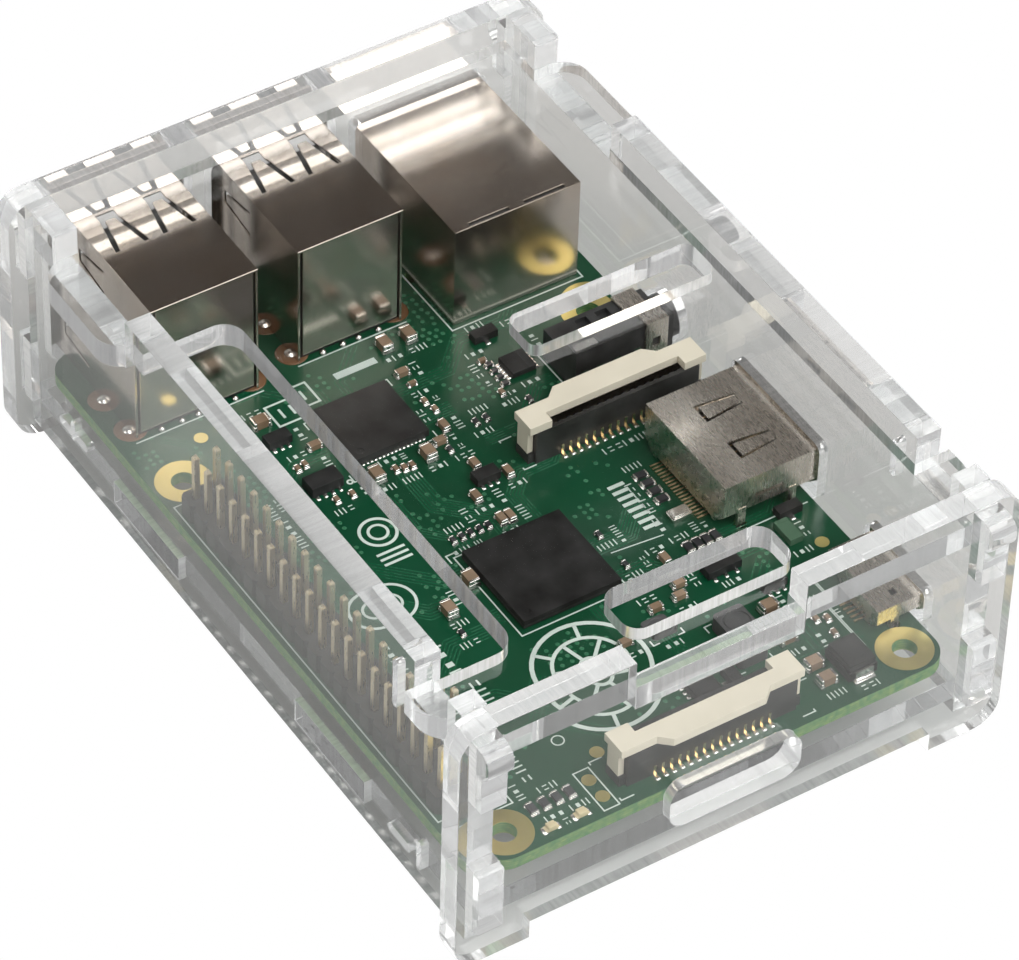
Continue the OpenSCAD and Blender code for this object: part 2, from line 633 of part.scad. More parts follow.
// x, y, turn, row of part_sizes
capacitors = [
  [32.1, 37.4, 0, 2], [30.6, 40.9, 0, 2], [38, 29.8, 0, 1], [37.9, 28.8, 0, 1],
  [50.2, 37.6, 0, 2], [50.2, 31.2, 0, 2], [50.1, 35.3, 0, 0], [49.8, 34.4, 0, 0],
  [49.7, 33.5, 0, 0], [51.2, 29.1, 90, 1], [57.3, 27.2, 0, 0], [55.7, 26.9, 0, 0],
  [53, 27.5, 0, 1], [46.4, 27.8, 0, 1], [43.6, 25.4, 0, 1], [42.2, 30.3, 0, 1],
  [66.8, 26.4, 0, 2], [66.8, 23.4, 0, 2], [62.2, 27, 90, 1], [60.3, 26.9, 90, 0],
  [64.6, 43.3, 90, 2], [56.7, 43.4, 0, 0], [56.9, 42.4, 0, 0], [58.7, 40.1, 90, 1],
  [50.6, 42.3, 0, 0], [50.5, 40.4, 0, 0], [12.7, 13.2, 90, 2], [10.8, 13.2, 90, 2],
  [6.3, 13, 90, 2], [3.8, 13.1, 90, 2], [11.6, 9, 0, 0], [11.1, 7.9, 0, 0],
  [9, 8.5, 0, 0], [21.5, 18.4, 90, 1], [20, 19.3, 90, 1], [24.2, 18.4, 0, 1],
  [16.2, 28.6, 90, 1], [19.8, 22.4, 90, 1], [54.2, 19.4, 0, 0], [59.4, 18.6, 90, 0]];
resistors = concat(
  [for (i = [0:4]) [38, 31.4 + 1.09 * i, 0, 0]],
  [for (i = [0:3]) [24.4, 11.9 + 1.12 * i, 0, 1]],
  [for (i = [0:3]) [31.8 + 1.37 * i, 13.7, 90, 1]],
  [for (i = [0:3]) [4.6, 44 + 1.5 * i, 0, 1]],
  [for (i = [0:3]) [55.2 + 1.1 * i, 18.3, 90, 0]],
  [for (i = [0:2]) [59.6 + 1.1 * i, 12.6, 90, 0]],
  [[27.3, 41.4, 0, 0], [30.8, 22.3, 0, 0], [25.7, 22.3, 0, 0], [49.7, 28.8, 0, 0],
   [51.8, 17.4, 0, 0], [51.8, 24.2, 0, 0], [51.8, 22.9, 0, 0]]);
// capacitors on the underside, below the processor and the network controller
under_capacitors = concat(
  [for (i = [-2:2], j = [-1, 0, 1]) [cpu_at.x + 2.2 * i, cpu_at.y + 2.6 * j, 90, 0]],
  [for (i = [-1:1]) [lan_at.x + 2.4 * i, lan_at.y, 90, 0]]);
module part_ends(size, h) for (s = sides)
  box(side(s, size[0] - size[2], size[0]), about(size[1]), [0, h + 0.02]);
module part_middle(size, h) box(about(size[0] - size[2]), about(size[1]), [0.02, h]);
module capacitor(row, ends) {
  size = part_sizes[row[3]];
  place(row) if (ends) part_ends(size, size[3]); else part_middle(size, size[3]);
}
module all_capacitors(ends) on_board() {
  for (c = capacitors) capacitor(c, ends);
  below() for (c = under_capacitors) capacitor(c, ends);
}
module capacitor_bodies() color("#8d7256") all_capacitors(ends = false);
module capacitor_terminals() color(tin) all_capacitors(ends = true);
module resistor_bodies() color("#2a2b2e") on_board()
  for (r = resistors) place(r) part_middle(part_sizes[r[3]], resistor_h);
module resistor_terminals() color(tin) on_board()
  for (r = resistors) place(r) part_ends(part_sizes[r[3]], resistor_h);

// ---------- other small parts ----------
module crystal(l, w) {
  plate(0.01, 0.6) round_rect(about(l / 2), about(w / 2), 0.3);
  plate(0.6, 0.2) round_rect(about(l / 2 - 0.2), about(w / 2 - 0.2), 0.25);
}
module crystals() color("#c2bfb8") on_board() {
  place([28.9, 13.5, 90]) crystal(2.5, 1.6);
  below() for (p = [[64.2, 38.4], [40.4, 33]]) translate(p) crystal(3.2, 2.5);
}
module power_fuse() color("#3f6b4a") on_board() translate([20.7, 5.2, 0]) {
  box(about(1.1), about(0.8), [0.02, 0.8]);
  for (s = sides) box(side(s, 1.1, 1.6), about(0.8), [0, 0.82]);
}
// x, y, turn
transistors = [[23.4, 3.4, 90], [62.6, 16.4, 90], [8.9, 21.2, 0]];
module transistor_legs() {
  for (x = [-0.95, 0.95]) box(about(0.2, x), [-1.15, -0.5], [0, 0.15]);
  box(about(0.2), [0.5, 1.15], [0, 0.15]);
}
module small_transistors() color("#1e1f21") on_board() for (t = transistors) place(t)
  difference() {
    box(about(1.45), about(0.65), [0.05, 1]);
    transistor_legs();
  }
module transistor_leads() color(tin) on_board() for (t = transistors) place(t) transistor_legs();
module status_leds() color("#f0ead0") on_board() for (y = [48.2, 44.6]) translate([1.5, y, 0]) {
  box(about(0.4), about(0.8), [0, 0.3]);
  box(about(0.4), about(0.5), [0.3, 0.7]);
}

// ---------- storage card socket, under the board ----------
socket_x = [1.4, 15.9];
socket_y = [21.2, 34.8];
socket_z = [-2.95, -pcb_t];
socket_t = 0.15;                 // sheet metal
base_z = -1.8;                   // lower face of the base
base_end = socket_x[1] - 0.1;
base_y = [socket_y[0] + 0.2, socket_y[1] - 0.2];
module card_socket_shell() color(port_metal) on_board() difference() {
  union() {
    box(socket_x, socket_y, [socket_z[0], socket_z[0] + socket_t]);
    for (y = [socket_y[0], socket_y[1] - socket_t]) box(socket_x, [y, y + socket_t], socket_z);
  }
  for (y = [24, 31]) translate([5, y, socket_z[0]]) spring_slits(5, 0.8, 1.6, 0.2);
}
module socket_contact_set() for (i = [0:7]) translate([0, 23.6 + 1.1 * i, 0]) {
  box([5, 16.8], about(0.2), [-1.72, -1.62]);
  box([15.6, 17.2], about(0.2), [-1.62, socket_z[1]]);
}
module card_socket_contacts() color(gilt) on_board() socket_contact_set();
module card_socket_base() color(port_black) on_board() difference() {
  union() {
    box([socket_x[0] + 0.8, base_end], base_y, [base_z, socket_z[1]]);
    // back wall
    box([socket_x[1] - 0.9, base_end], base_y, [socket_z[0] + 0.2, base_z]);
    // rib that guides the slider
    box([3, socket_x[1] - 0.9], [32.1, 32.4], [-2.65, base_z]);
  }
  socket_contact_set();
}
module card_socket_slider() color("#2b2c2f") on_board() difference() {
  slider_z = socket_z[0] + 0.22;
  union() {
    box([4.4, 9], [32.5, 34.5], [slider_z, -1.85]);
    box([8.2, 9], [31, 34.5], [slider_z, -2.7]);
  }
  // channel for the cam pin
  box([5.2, 8], [33.2, 33.7], [socket_z[0], -2.4]);
}
// a row of separate rings stands for the coils
module card_socket_spring() color("#c9c9c9") on_board()
  translate([9.1, 33.5, -2.3]) rotate([0, 90, 0])
    for (i = [0:6]) translate([0, 0, i * 0.82])
      rotate_extrude($fn = 24) translate([0.32, 0.11]) circle(0.1, $fn = 16);

top_plate();
bottom_plate();
side_wall_header();
side_wall_ports();
end_plate_ports();
end_plate_card();
circuit_board();
plated_pads();
header_body();
header_pins();
usb_shells();
usb_insulators();
usb_contacts();
network_port_shell();
network_port_insulator();
network_port_contacts();
network_port_lights();
video_port_shell();
video_port_insulator();
video_port_contacts();
power_port_shell();
power_port_insulator();
power_port_contacts();
av_jack_body();
av_jack_shell();
av_jack_contacts();
camera_connector_body();
camera_connector_latch();
camera_connector_contacts();
display_connector_body();
display_connector_latch();
display_connector_contacts();
processor_package();
memory_package();
network_controller_body();
network_controller_leads();
power_inductors();
surge_diode_body();
surge_diode_terminals();
regulator_chips();
regulator_leads();
capacitor_bodies();
capacitor_terminals();
resistor_bodies();
resistor_terminals();
crystals();
power_fuse();
small_transistors();
transistor_leads();
status_leds();
card_socket_shell();
card_socket_base();
card_socket_contacts();
card_socket_slider();
card_socket_spring();
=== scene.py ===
"""A small single-board computer in a case of clear sheets.

It lies flat on the floor at z = 0, in metres. The stacked ports face -X, the card socket is
at the +X end, and the pin header runs along the -Y side.
"""
import bpy, bmesh, math, random
from mathutils import Vector, Matrix


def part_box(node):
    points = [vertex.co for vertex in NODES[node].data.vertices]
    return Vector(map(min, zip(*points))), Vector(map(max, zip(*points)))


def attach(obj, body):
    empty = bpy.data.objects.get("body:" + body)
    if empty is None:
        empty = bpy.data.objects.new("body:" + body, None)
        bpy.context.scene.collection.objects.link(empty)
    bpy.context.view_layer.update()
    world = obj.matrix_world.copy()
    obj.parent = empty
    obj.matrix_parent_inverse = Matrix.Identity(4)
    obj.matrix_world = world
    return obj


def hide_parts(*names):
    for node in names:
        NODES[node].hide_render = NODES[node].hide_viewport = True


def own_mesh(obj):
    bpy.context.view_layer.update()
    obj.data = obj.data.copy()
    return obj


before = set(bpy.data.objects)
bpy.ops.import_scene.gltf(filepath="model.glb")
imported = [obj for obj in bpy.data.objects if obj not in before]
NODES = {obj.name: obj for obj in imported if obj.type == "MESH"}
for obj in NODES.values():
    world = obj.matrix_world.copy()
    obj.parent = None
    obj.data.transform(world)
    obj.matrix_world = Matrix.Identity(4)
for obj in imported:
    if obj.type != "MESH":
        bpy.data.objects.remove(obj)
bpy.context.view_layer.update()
MM = 0.001
scene = bpy.context.scene

# ------------------------------------------------------------------ board frame
# Board coordinates are in millimetres from the board's +X +Y corner: x towards -X, y towards -Y.
BOARD_LO, BOARD_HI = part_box("circuit_board")
BOARD_X, BOARD_Y = 85, 56
PCB_TOP, PCB_BOTTOM = BOARD_HI.z, BOARD_LO.z
# from the upper face to 0.02 mm inside the lower one, where hanging solder starts
TO_UNDERSIDE = Vector((0, 0, PCB_BOTTOM - PCB_TOP + 0.00002))


def on_board(x, y):
    """A place on the board's upper face, from board millimetres to frame metres."""
    return Vector((BOARD_HI.x - x * MM, BOARD_HI.y - y * MM, PCB_TOP))


def board_box(lo, hi):
    """A frame box as (x0, y0, x1, y1) in board millimetres."""
    return ((BOARD_HI.x - hi[0]) / MM, (BOARD_HI.y - hi[1]) / MM,
            (BOARD_HI.x - lo[0]) / MM, (BOARD_HI.y - lo[1]) / MM)


def islands(name):
    """Boxes of each separate solid of a CAD node, as sorted [lowest, highest] corners."""
    mesh = NODES[name].data
    welded, parent, ids = {}, [], []

    def root(i):
        while parent[i] != i:
            parent[i] = parent[parent[i]]
            i = parent[i]
        return i

    for vert in mesh.vertices:
        key = tuple(round(c * 2e5) for c in vert.co)  # joins corners within 0.005 mm
        if key not in welded:
            welded[key] = len(parent)
            parent.append(welded[key])
        ids.append(welded[key])
    for face in mesh.polygons:
        first, *others = [ids[i] for i in face.vertices]
        for other in others:
            a, b = root(first), root(other)
            parent[a] = b
    solids = {}
    for vert in mesh.vertices:
        solids.setdefault(root(ids[vert.index]), []).append(tuple(vert.co))
    return sorted([tuple(map(min, zip(*points))), tuple(map(max, zip(*points)))]
                  for points in solids.values())


# ------------------------------------------------------------------ node graphs
BLACK, WHITE = (0, 0, 0), (1, 1, 1)


class Graph:
    """A short way to write the node tree of a material or a world."""

    def __init__(self, owner, output="OutputMaterial"):
        self.owner = owner
        owner.use_nodes = True
        self.tree = owner.node_tree
        self.tree.nodes.clear()
        self.output = self.node(output)
        self.place = self.node("TexCoord")

    def node(self, kind, inputs=None, **settings):
        """Adds a node; each input takes a value or another node's output."""
        node = self.tree.nodes.new("ShaderNode" + kind)
        for key, value in settings.items():
            setattr(node, key, value)
        for key, value in (inputs or {}).items():
            socket = node.inputs[key]
            if isinstance(value, bpy.types.NodeSocket):
                self.tree.links.new(value, socket)
            else:
                socket.default_value = (*value, 1) if socket.type == "RGBA" else value
        return node

    def shader(self, kind, inputs):
        return self.node(kind, inputs).outputs[0]

    def coord(self, scale=(1, 1, 1), rotation=(0, 0, 0)):
        return self.node("Mapping", {"Vector": self.place.outputs["Object"], "Scale": scale,
                                     "Rotation": rotation}).outputs[0]

    def noise(self, scale, detail, rough=0.5, vector=None):
        return self.node("TexNoise", {"Vector": vector or self.coord(), "Scale": scale,
                                      "Detail": detail, "Roughness": rough}).outputs["Fac"]

    def ramp(self, fac, start, end, low=BLACK, high=WHITE):
        """Goes from low at start to high at end."""
        node = self.node("ValToRGB", {"Fac": fac})
        stops = ((start, low), (end, high))
        for element, (position, colour) in zip(node.color_ramp.elements, stops):
            element.position = position
            element.color = (*colour, 1)
        return node.outputs["Color"]

    def range(self, value, low, high, start=0.0, end=1.0):
        """Maps start..end of value to low..high."""
        return self.node("MapRange", {"Value": value, "From Min": start, "From Max": end,
                                      "To Min": low, "To Max": high}).outputs[0]

    def math(self, operation, a, b=0.5):
        return self.node("Math", {0: a, 1: b}, operation=operation).outputs[0]

    def mix(self, fac, a, b):
        return self.node("Mix", {0: fac, 6: a, 7: b}, data_type="RGBA").outputs[2]

    def mix_value(self, fac, a, b):
        return self.node("Mix", {0: fac, 2: a, 3: b}, data_type="FLOAT").outputs[0]

    def mix_shader(self, fac, a, b):
        return self.shader("MixShader", {0: fac, 1: a, 2: b})

    def part(self, vector, axis):
        return self.node("SeparateXYZ", {0: vector}).outputs[axis]

    def normal(self, axis):
        return self.part(self.node("NewGeometry").outputs["True Normal"], axis)

    def faces_along(self, axis, limit):
        """One where the surface faces either way along the axis."""
        return self.math("GREATER_THAN", self.math("ABSOLUTE", self.normal(axis)), limit)

    def bell(self, x, centre, half_width, height):
        """A bell curve of x."""
        t = self.math("DIVIDE", self.math("SUBTRACT", x, centre), half_width)
        power = self.math("MULTIPLY", self.math("MULTIPLY", t, t), -1.0)
        return self.math("MULTIPLY", self.math("EXPONENT", power), height)

    def bump(self, height, strength, distance, normal=None):
        inputs = {"Height": height, "Strength": strength, "Distance": distance}
        if normal is not None:
            inputs["Normal"] = normal
        return self.node("Bump", inputs).outputs[0]

    def finish(self, shader):
        self.tree.links.new(shader, self.output.inputs["Surface"])
        return self.owner


def material(name):
    return Graph(bpy.data.materials.new(name))


def toward(a, b, t):
    return tuple(x + (y - x) * t for x, y in zip(a, b))


# ------------------------------------------------------------------ materials
def plastic(name, colour, rough, vary, grain, bump, specular, dust, coat):
    m = material(name)
    cloud = m.noise(scale=260, detail=4)
    fine = m.noise(scale=grain, detail=3)
    shade = m.mix(m.ramp(cloud, start=0.3, end=0.7),
                  toward(colour, BLACK, vary), toward(colour, WHITE, vary * 0.12))
    if dust:
        specks = m.noise(scale=1400, detail=6, rough=0.7)
        shade = m.mix(m.ramp(specks, start=0.62, end=0.8, high=(dust,) * 3),
                      shade, (0.45, 0.43, 0.4))
    smudges = m.noise(scale=1100, detail=5)
    return m.finish(m.shader("BsdfPrincipled", {
        "Base Color": shade,
        "Roughness": m.range(smudges, low=rough - 0.08, high=rough + 0.1),
        "Specular IOR Level": specular,
        "Normal": m.bump(fine, strength=bump, distance=0.00001),
        "Coat Weight": coat, "Coat Roughness": 0.1}))


def metal(name, colour, rough, brushed, stain, bump, tint=(0.5, 0.36, 0.24),
          front_painted_shade=None, edge=0.0, painted_shade_bands=(), waves=()):
    """Stained metal, with painted shade on the faces towards -X and in dark bands across it; the
    bands and the waves are placed from edge, an x in metres.
    """
    m = material(name)
    streak = m.noise(scale=900, detail=4, rough=0.6, vector=m.coord(brushed))
    cloud = m.noise(scale=170, detail=5, rough=0.6)
    spots = m.noise(scale=1500, detail=3, rough=0.6)
    shade = m.mix(m.ramp(cloud, start=0.35, end=0.75), colour, toward(colour, tint, stain))
    shade = m.mix(m.ramp(spots, start=0.66, end=0.8, high=(0.5, 0.5, 0.5)),
                  shade, toward(colour, WHITE, 0.3))
    if front_painted_shade:
        # painted shade: the frame facing -X is given a darker colour
        shade = m.mix(m.math("LESS_THAN", m.normal(0), -0.8), shade, front_painted_shade)
    for offset, half_width, amount in painted_shade_bands:
        # painted shade: darker bands across the shell
        x = m.part(m.place.outputs["Object"], 0)
        shade = m.mix(m.bell(x, edge + offset, half_width, amount), shade,
                      (0.045, 0.034, 0.026))
    pressed = None
    if waves:
        # pressed bands across the upper face
        top = m.math("GREATER_THAN", m.normal(2), 0.9)
        x = m.part(m.place.outputs["Object"], 0)
        bells = [m.bell(x, edge + offset, half_width, depth)
                 for offset, half_width, depth in waves]
        total = bells[0]
        for bell in bells[1:]:
            total = m.math("ADD", total, bell)
        pressed = m.bump(m.math("MULTIPLY", total, top), strength=1.0, distance=1.0)
    return m.finish(m.shader("BsdfPrincipled", {
        "Base Color": shade, "Metallic": 1.0,
        "Roughness": m.range(streak, low=rough * 0.75, high=rough * 1.3),
        "Normal": m.bump(streak, strength=bump, distance=0.000006, normal=pressed)}))


EDGE_SCATTER_AND_GLOW = 0.2  # share of scattered light and painted glow on the sheets' cut edges
FACE_SCATTER_AND_GLOW = 0.0  # and added everywhere


def acrylic(name, axis):
    """Clear sheet: polished faces across the axis, cut edges with fine lines along it."""
    m = material(name)
    face = m.faces_along(axis, limit=0.75)
    stretch = [2600, 2600, 2600]
    stretch[axis] = 60
    lines = m.noise(scale=1.0, detail=3, rough=0.6, vector=m.coord(stretch))
    haze = m.noise(scale=140, detail=5, rough=0.6)
    scratches = m.noise(scale=1.0, detail=6, rough=0.75,
                        vector=m.coord(scale=(900, 5200, 2400), rotation=(0.3, 0.5, 0.7)))
    edge_rough = m.range(lines, start=0.3, end=0.7, low=0.01, high=0.05)
    face_rough = m.range(haze, start=0.4, end=0.8, low=0.0, high=0.03)
    height = m.mix_value(face, lines, m.math("MULTIPLY", scratches, 0.05))
    glass = m.shader("BsdfPrincipled", {
        "Base Color": (0.985, 0.992, 0.99), "IOR": 1.49, "Transmission Weight": 1.0,
        "Roughness": m.mix_value(face, edge_rough, face_rough),
        "Normal": m.bump(height, strength=0.03, distance=0.00001)})
    # light caught by the cut edge and scattered out of it again; the emission is a painted glow
    # standing in for light piped along the sheet to its edges
    skin = m.shader("BsdfDiffuse", {"Color": (0.97, 0.97, 0.98)})
    glow = m.shader("BsdfTranslucent", {"Color": (0.97, 0.97, 0.98)})
    painted_glow = m.shader("Emission", {"Color": (0.97, 0.98, 1.0), "Strength": 0.38})
    scatter_and_painted_glow = m.shader("AddShader", {0: m.mix_shader(0.55, skin, glow), 1: painted_glow})
    amount = m.range(lines, start=0.3, end=0.7, low=EDGE_SCATTER_AND_GLOW * 0.8, high=EDGE_SCATTER_AND_GLOW * 1.2)
    amount = m.math("MULTIPLY", m.math("SUBTRACT", 1.0, face), amount)
    amount = m.math("ADD", amount, FACE_SCATTER_AND_GLOW)
    body = m.mix_shader(amount, glass, scatter_and_painted_glow)
    # shadow and diffuse rays pass straight through
    clear = m.shader("BsdfTransparent", {"Color": (0.93, 0.94, 0.94)})
    rays = m.node("LightPath").outputs
    passing = m.math("MAXIMUM", rays["Is Shadow Ray"], rays["Is Diffuse Ray"])
    return m.finish(m.mix_shader(passing, body, clear))


def board_material():
    """Green mask on the flat faces, layered glass fibre on the cut edges."""
    m = material("solder_mask_board")
    flat = m.faces_along(2, limit=0.7)
    cloud = m.noise(scale=70, detail=4)
    weave = m.noise(scale=2500, detail=2)
    mask = m.mix(m.ramp(cloud, start=0.35, end=0.7),
                 (0.0015, 0.050, 0.021), (0.003, 0.066, 0.028))
    layers = m.node("TexWave", {"Vector": m.coord(), "Scale": 900.0, "Distortion": 2.0,
                                "Detail": 2.0}, wave_type="BANDS", bands_direction="Z")
    fibre = m.mix(layers.outputs["Fac"], (0.13, 0.26, 0.09), (0.28, 0.36, 0.13))
    patches = m.ramp(m.noise(scale=1500, detail=4), start=0.3, end=0.7)
    fibre = m.mix(patches, fibre, (0.06, 0.20, 0.08))
    return m.finish(m.shader("BsdfPrincipled", {
        "Base Color": m.mix(flat, fibre, mask),
        "Roughness": m.mix_value(flat, 0.7, 0.28),
        "Normal": m.bump(weave, strength=0.12, distance=0.00001),
        "Specular IOR Level": 0.35,
        "Coat Weight": m.math("MULTIPLY", flat, 0.2), "Coat Roughness": 0.12}))


# key, name, colour, roughness, brushing scale, stain, bump, stain's tint where not the default
METALS = (
    ("nickel_small", "nickel_small_shell", (0.68, 0.63, 0.57), 0.27, (1, 5, 1), 0.2, 0.012),
    ("pin", "header_pin_gold", (0.80, 0.68, 0.46), 0.28, (4, 4, 0.6), 0.25, 0.1,
     (0.55, 0.5, 0.42)),
    ("gold", "contact_gold", (0.84, 0.70, 0.46), 0.24, (3, 3, 1), 0.3, 0.12),
    ("tin", "tinned_ends", (0.80, 0.79, 0.76), 0.24, (1, 1, 1), 0.25, 0.3, (0.5, 0.47, 0.42)),
    ("solder", "solder_joint", (0.78, 0.77, 0.75), 0.2, (1, 1, 1), 0.3, 0.4,
     (0.45, 0.42, 0.38)),
    ("pad", "plated_pad", (0.60, 0.50, 0.20), 0.4, (1, 1, 1), 0.4, 0.2, (0.40, 0.38, 0.14)),
    ("lid_metal", "crystal_lid_metal", (0.80, 0.78, 0.74), 0.18, (1, 4, 1), 0.1, 0.12),
    ("wire", "spring_wire", (0.75, 0.75, 0.74), 0.22, (1, 1, 1), 0.35, 0.12),
)
# key, name, colour, roughness, variation, grain scale, bump, specular, dust, coat
PLASTICS = (
    ("black", "black_moulding", (0.012, 0.012, 0.0125), 0.4, 0.3, 6000, 0.3, 0.4, 0.06, 0),
    ("header", "header_moulding", (0.008, 0.008, 0.0085), 0.42, 0.3, 6000, 0.25, 0.25, 0.03, 0),
    ("chip", "chip_resin", (0.0055, 0.0055, 0.0058), 0.5, 0.2, 14000, 0.35, 0.22, 0.015, 0),
    ("chip_memory", "chip_memory_resin", (0.0032, 0.0032, 0.0034),
     0.55, 0.2, 14000, 0.3, 0.1, 0.006, 0),
    ("chip_network", "chip_network_resin", (0.009, 0.0088, 0.009),
     0.42, 0.2, 14000, 0.35, 0.3, 0.02, 0),
    ("cream", "latch_cream", (0.80, 0.73, 0.60), 0.42, 0.08, 5000, 0.2, 0.45, 0, 0),
    ("ferrite", "ferrite_grey", (0.05, 0.05, 0.052), 0.55, 0.35, 7000, 0.5, 0.4, 0.2, 0),
    ("ceramic", "ceramic_brown", (0.27, 0.175, 0.105), 0.45, 0.35, 6000, 0.3, 0.45, 0, 0),
    ("resistor", "resistor_glaze", (0.025, 0.025, 0.03), 0.3, 0.3, 6000, 0.2, 0.5, 0, 0),
    ("fuse", "fuse_green", (0.05, 0.13, 0.07), 0.5, 0.3, 6000, 0.3, 0.5, 0, 0),
    ("lamp", "lamp_lens", (0.72, 0.60, 0.36), 0.3, 0.2, 5000, 0.1, 0.5, 0, 0.3),
    ("lens_amber", "port_light_lens", (0.75, 0.66, 0.34), 0.25, 0.15, 5000, 0.1, 0.5, 0, 0),
    ("ink", "print_white", (0.70, 0.78, 0.73), 0.55, 0.15, 5200, 0.4, 0.3, 0, 0),
    ("track", "mask_over_copper", (0.009, 0.125, 0.055), 0.26, 0.15, 4000, 0.15, 0.5, 0, 0.3),
    ("via", "tented_via", (0.02, 0.17, 0.075), 0.3, 0.2, 6000, 0.2, 0.5, 0, 0.3),
    ("flux", "flux_residue", (0.20, 0.085, 0.025), 0.18, 0.45, 3000, 0.3, 0.5, 0, 0.4),
)
NICKEL = (0.64, 0.58, 0.53)

MATERIALS = {
    "clear_z": acrylic("clear_sheet_flat", axis=2),
    "clear_y": acrylic("clear_sheet_side", axis=1),
    "clear_x": acrylic("clear_sheet_end", axis=0),
    "board": board_material(),
    # painted shade bands: offset, half width (m), amount; waves: offset, half width, depth (m)
    # the front colours below are painted shade on the frames facing -X
    "nickel": metal(
        "nickel_shell", NICKEL, rough=0.17, brushed=(1, 6, 6), stain=0.3, bump=0.05,
        front_painted_shade=(0.22, 0.165, 0.115), edge=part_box("usb_shells")[0].x,
        painted_shade_bands=((0.0006, 0.0010, 0.7), (0.0036, 0.0007, 0.45)),
        waves=((0.0052, 0.0011, -0.00014), (-0.0002, 0.0042, -0.0010))),
    "nickel_net": metal(
        "nickel_network_shell", NICKEL, rough=0.2, brushed=(6, 1, 6), stain=0.3, bump=0.05,
        front_painted_shade=(0.38, 0.31, 0.24), edge=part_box("network_port_shell")[0].x,
        waves=((0.0050, 0.0030, -0.00042), (0.0, 0.010, -0.00022))),
}
for key, *values in METALS:
    MATERIALS[key] = metal(*values)
for key, *values in PLASTICS:
    MATERIALS[key] = plastic(*values)

NODE_MATERIALS = {
    "top_plate": "clear_z", "bottom_plate": "clear_z",
    "side_wall_header": "clear_y", "side_wall_ports": "clear_y",
    "end_plate_ports": "clear_x", "end_plate_card": "clear_x",
    "circuit_board": "board", "plated_pads": "pad",
    "header_body": "header", "header_pins": "pin",
    "usb_shells": "nickel", "network_port_shell": "nickel_net",
    "network_port_lights": "lens_amber", "video_port_shell": "nickel_small",
    "power_port_shell": "nickel_small", "av_jack_shell": "nickel_small",
    "av_jack_contacts": "tin", "card_socket_shell": "nickel_small",
    "camera_connector_latch": "cream", "display_connector_latch": "cream",
    "processor_package": "chip", "memory_package": "chip_memory",
    "network_controller_body": "chip_network", "regulator_chips": "chip",
    "small_transistors": "chip", "surge_diode_body": "chip",
    "power_inductors": "ferrite", "capacitor_bodies": "ceramic",
    "resistor_bodies": "resistor", "crystals": "lid_metal",
    "power_fuse": "fuse", "status_leds": "lamp", "card_socket_spring": "wire",
}


def default_material(name):
    if name.endswith(("_leads", "_terminals")):
        return "tin"
    return "gold" if name.endswith("contacts") else "black"


for name, ob in NODES.items():
    ob.data.materials.clear()
    ob.data.materials.append(MATERIALS[NODE_MATERIALS.get(name) or default_material(name)])

# ------------------------------------------------------------------ rounded corners
CLEAR_SHEETS = ("top_plate", "bottom_plate", "side_wall_header", "side_wall_ports",
                "end_plate_ports", "end_plate_card")
# bevel width in mm: the nodes that take it
ROUNDED = {
    0.12: CLEAR_SHEETS + ("camera_connector_latch", "display_connector_latch",
                          "surge_diode_body", "network_port_shell", "power_inductors"),
    0.1: ("usb_shells",),
    0.08: ("network_controller_body", "header_body"),
    0.07: ("capacitor_terminals",),
    0.06: ("crystals", "status_leds", "regulator_chips"),
    0.05: ("memory_package",),
    0.04: ("resistor_terminals",),
}


def modifier(ob, name, kind, **settings):
    added = ob.modifiers.new(name, kind)
    for key, value in settings.items():
        setattr(added, key, value)


def soften(ob, width):
    """Rounds a CAD node's corners with modifiers; its own mesh stays as it is."""
    modifier(ob, "weld", "WELD", merge_threshold=2e-6)
    modifier(ob, "flat", "DECIMATE", decimate_type="DISSOLVE", angle_limit=math.radians(0.6))
    modifier(ob, "round", "BEVEL", width=width * MM, segments=2, limit_method="ANGLE",
             angle_limit=math.radians(35), harden_normals=False, use_clamp_overlap=True)
    modifier(ob, "even", "WEIGHTED_NORMAL", mode="FACE_AREA", weight=100, keep_sharp=False)


for width, names in ROUNDED.items():
    for name in names:
        soften(NODES[name], width)


# ------------------------------------------------------------------ mesh helpers
def make(name, bm, material_key, smooth=True):
    mesh = bpy.data.meshes.new(name)
    bm.normal_update()
    bm.to_mesh(mesh)
    bm.free()
    if smooth:
        for face in mesh.polygons:
            face.use_smooth = True
    ob = bpy.data.objects.new(name, mesh)
    scene.collection.objects.link(ob)
    mesh.materials.append(MATERIALS[material_key])
    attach(ob, "case")
    return ob


def lathe(bm, centre, profile, segments, sign=1, widen=1.0):
    """Turns (radius, height) pairs in mm, from a base ring to a tip; sign -1 hangs it down."""
    rings = []
    for radius, height in profile[:-1]:
        r = radius * MM * widen
        angles = [2 * math.pi * i / segments for i in range(segments)]
        rings.append([bm.verts.new(centre + Vector((r * math.cos(angle), r * math.sin(angle),
                                                    sign * height * MM)))
                      for angle in angles])
    tip = bm.verts.new(centre + Vector((0, 0, sign * profile[-1][1] * MM)))
    for k, ring in enumerate(rings):
        for i in range(segments):
            j = (i + 1) % segments
            above = [tip] if ring is rings[-1] else [rings[k + 1][j], rings[k + 1][i]]
            bm.faces.new([ring[i], ring[j], *above][::sign])
    bm.faces.new(rings[0][::-1])


def side_step(points, i, closed=False):
    """A path's sideways unit vector at point i, and the cosine that its mitre divides by."""
    count = len(points)
    into = (points[i] - points[i - 1]).normalized() if i > 0 or closed else None
    out = (points[(i + 1) % count] - points[i]).normalized() if i < count - 1 or closed else None
    if into is None or out is None:
        end = out if into is None else into
        return Vector((-end.y, end.x)), 1
    along = (into + out).normalized()
    normal = Vector((-along.y, along.x))
    return normal, max(0.5, normal.dot(Vector((-into.y, into.x))))


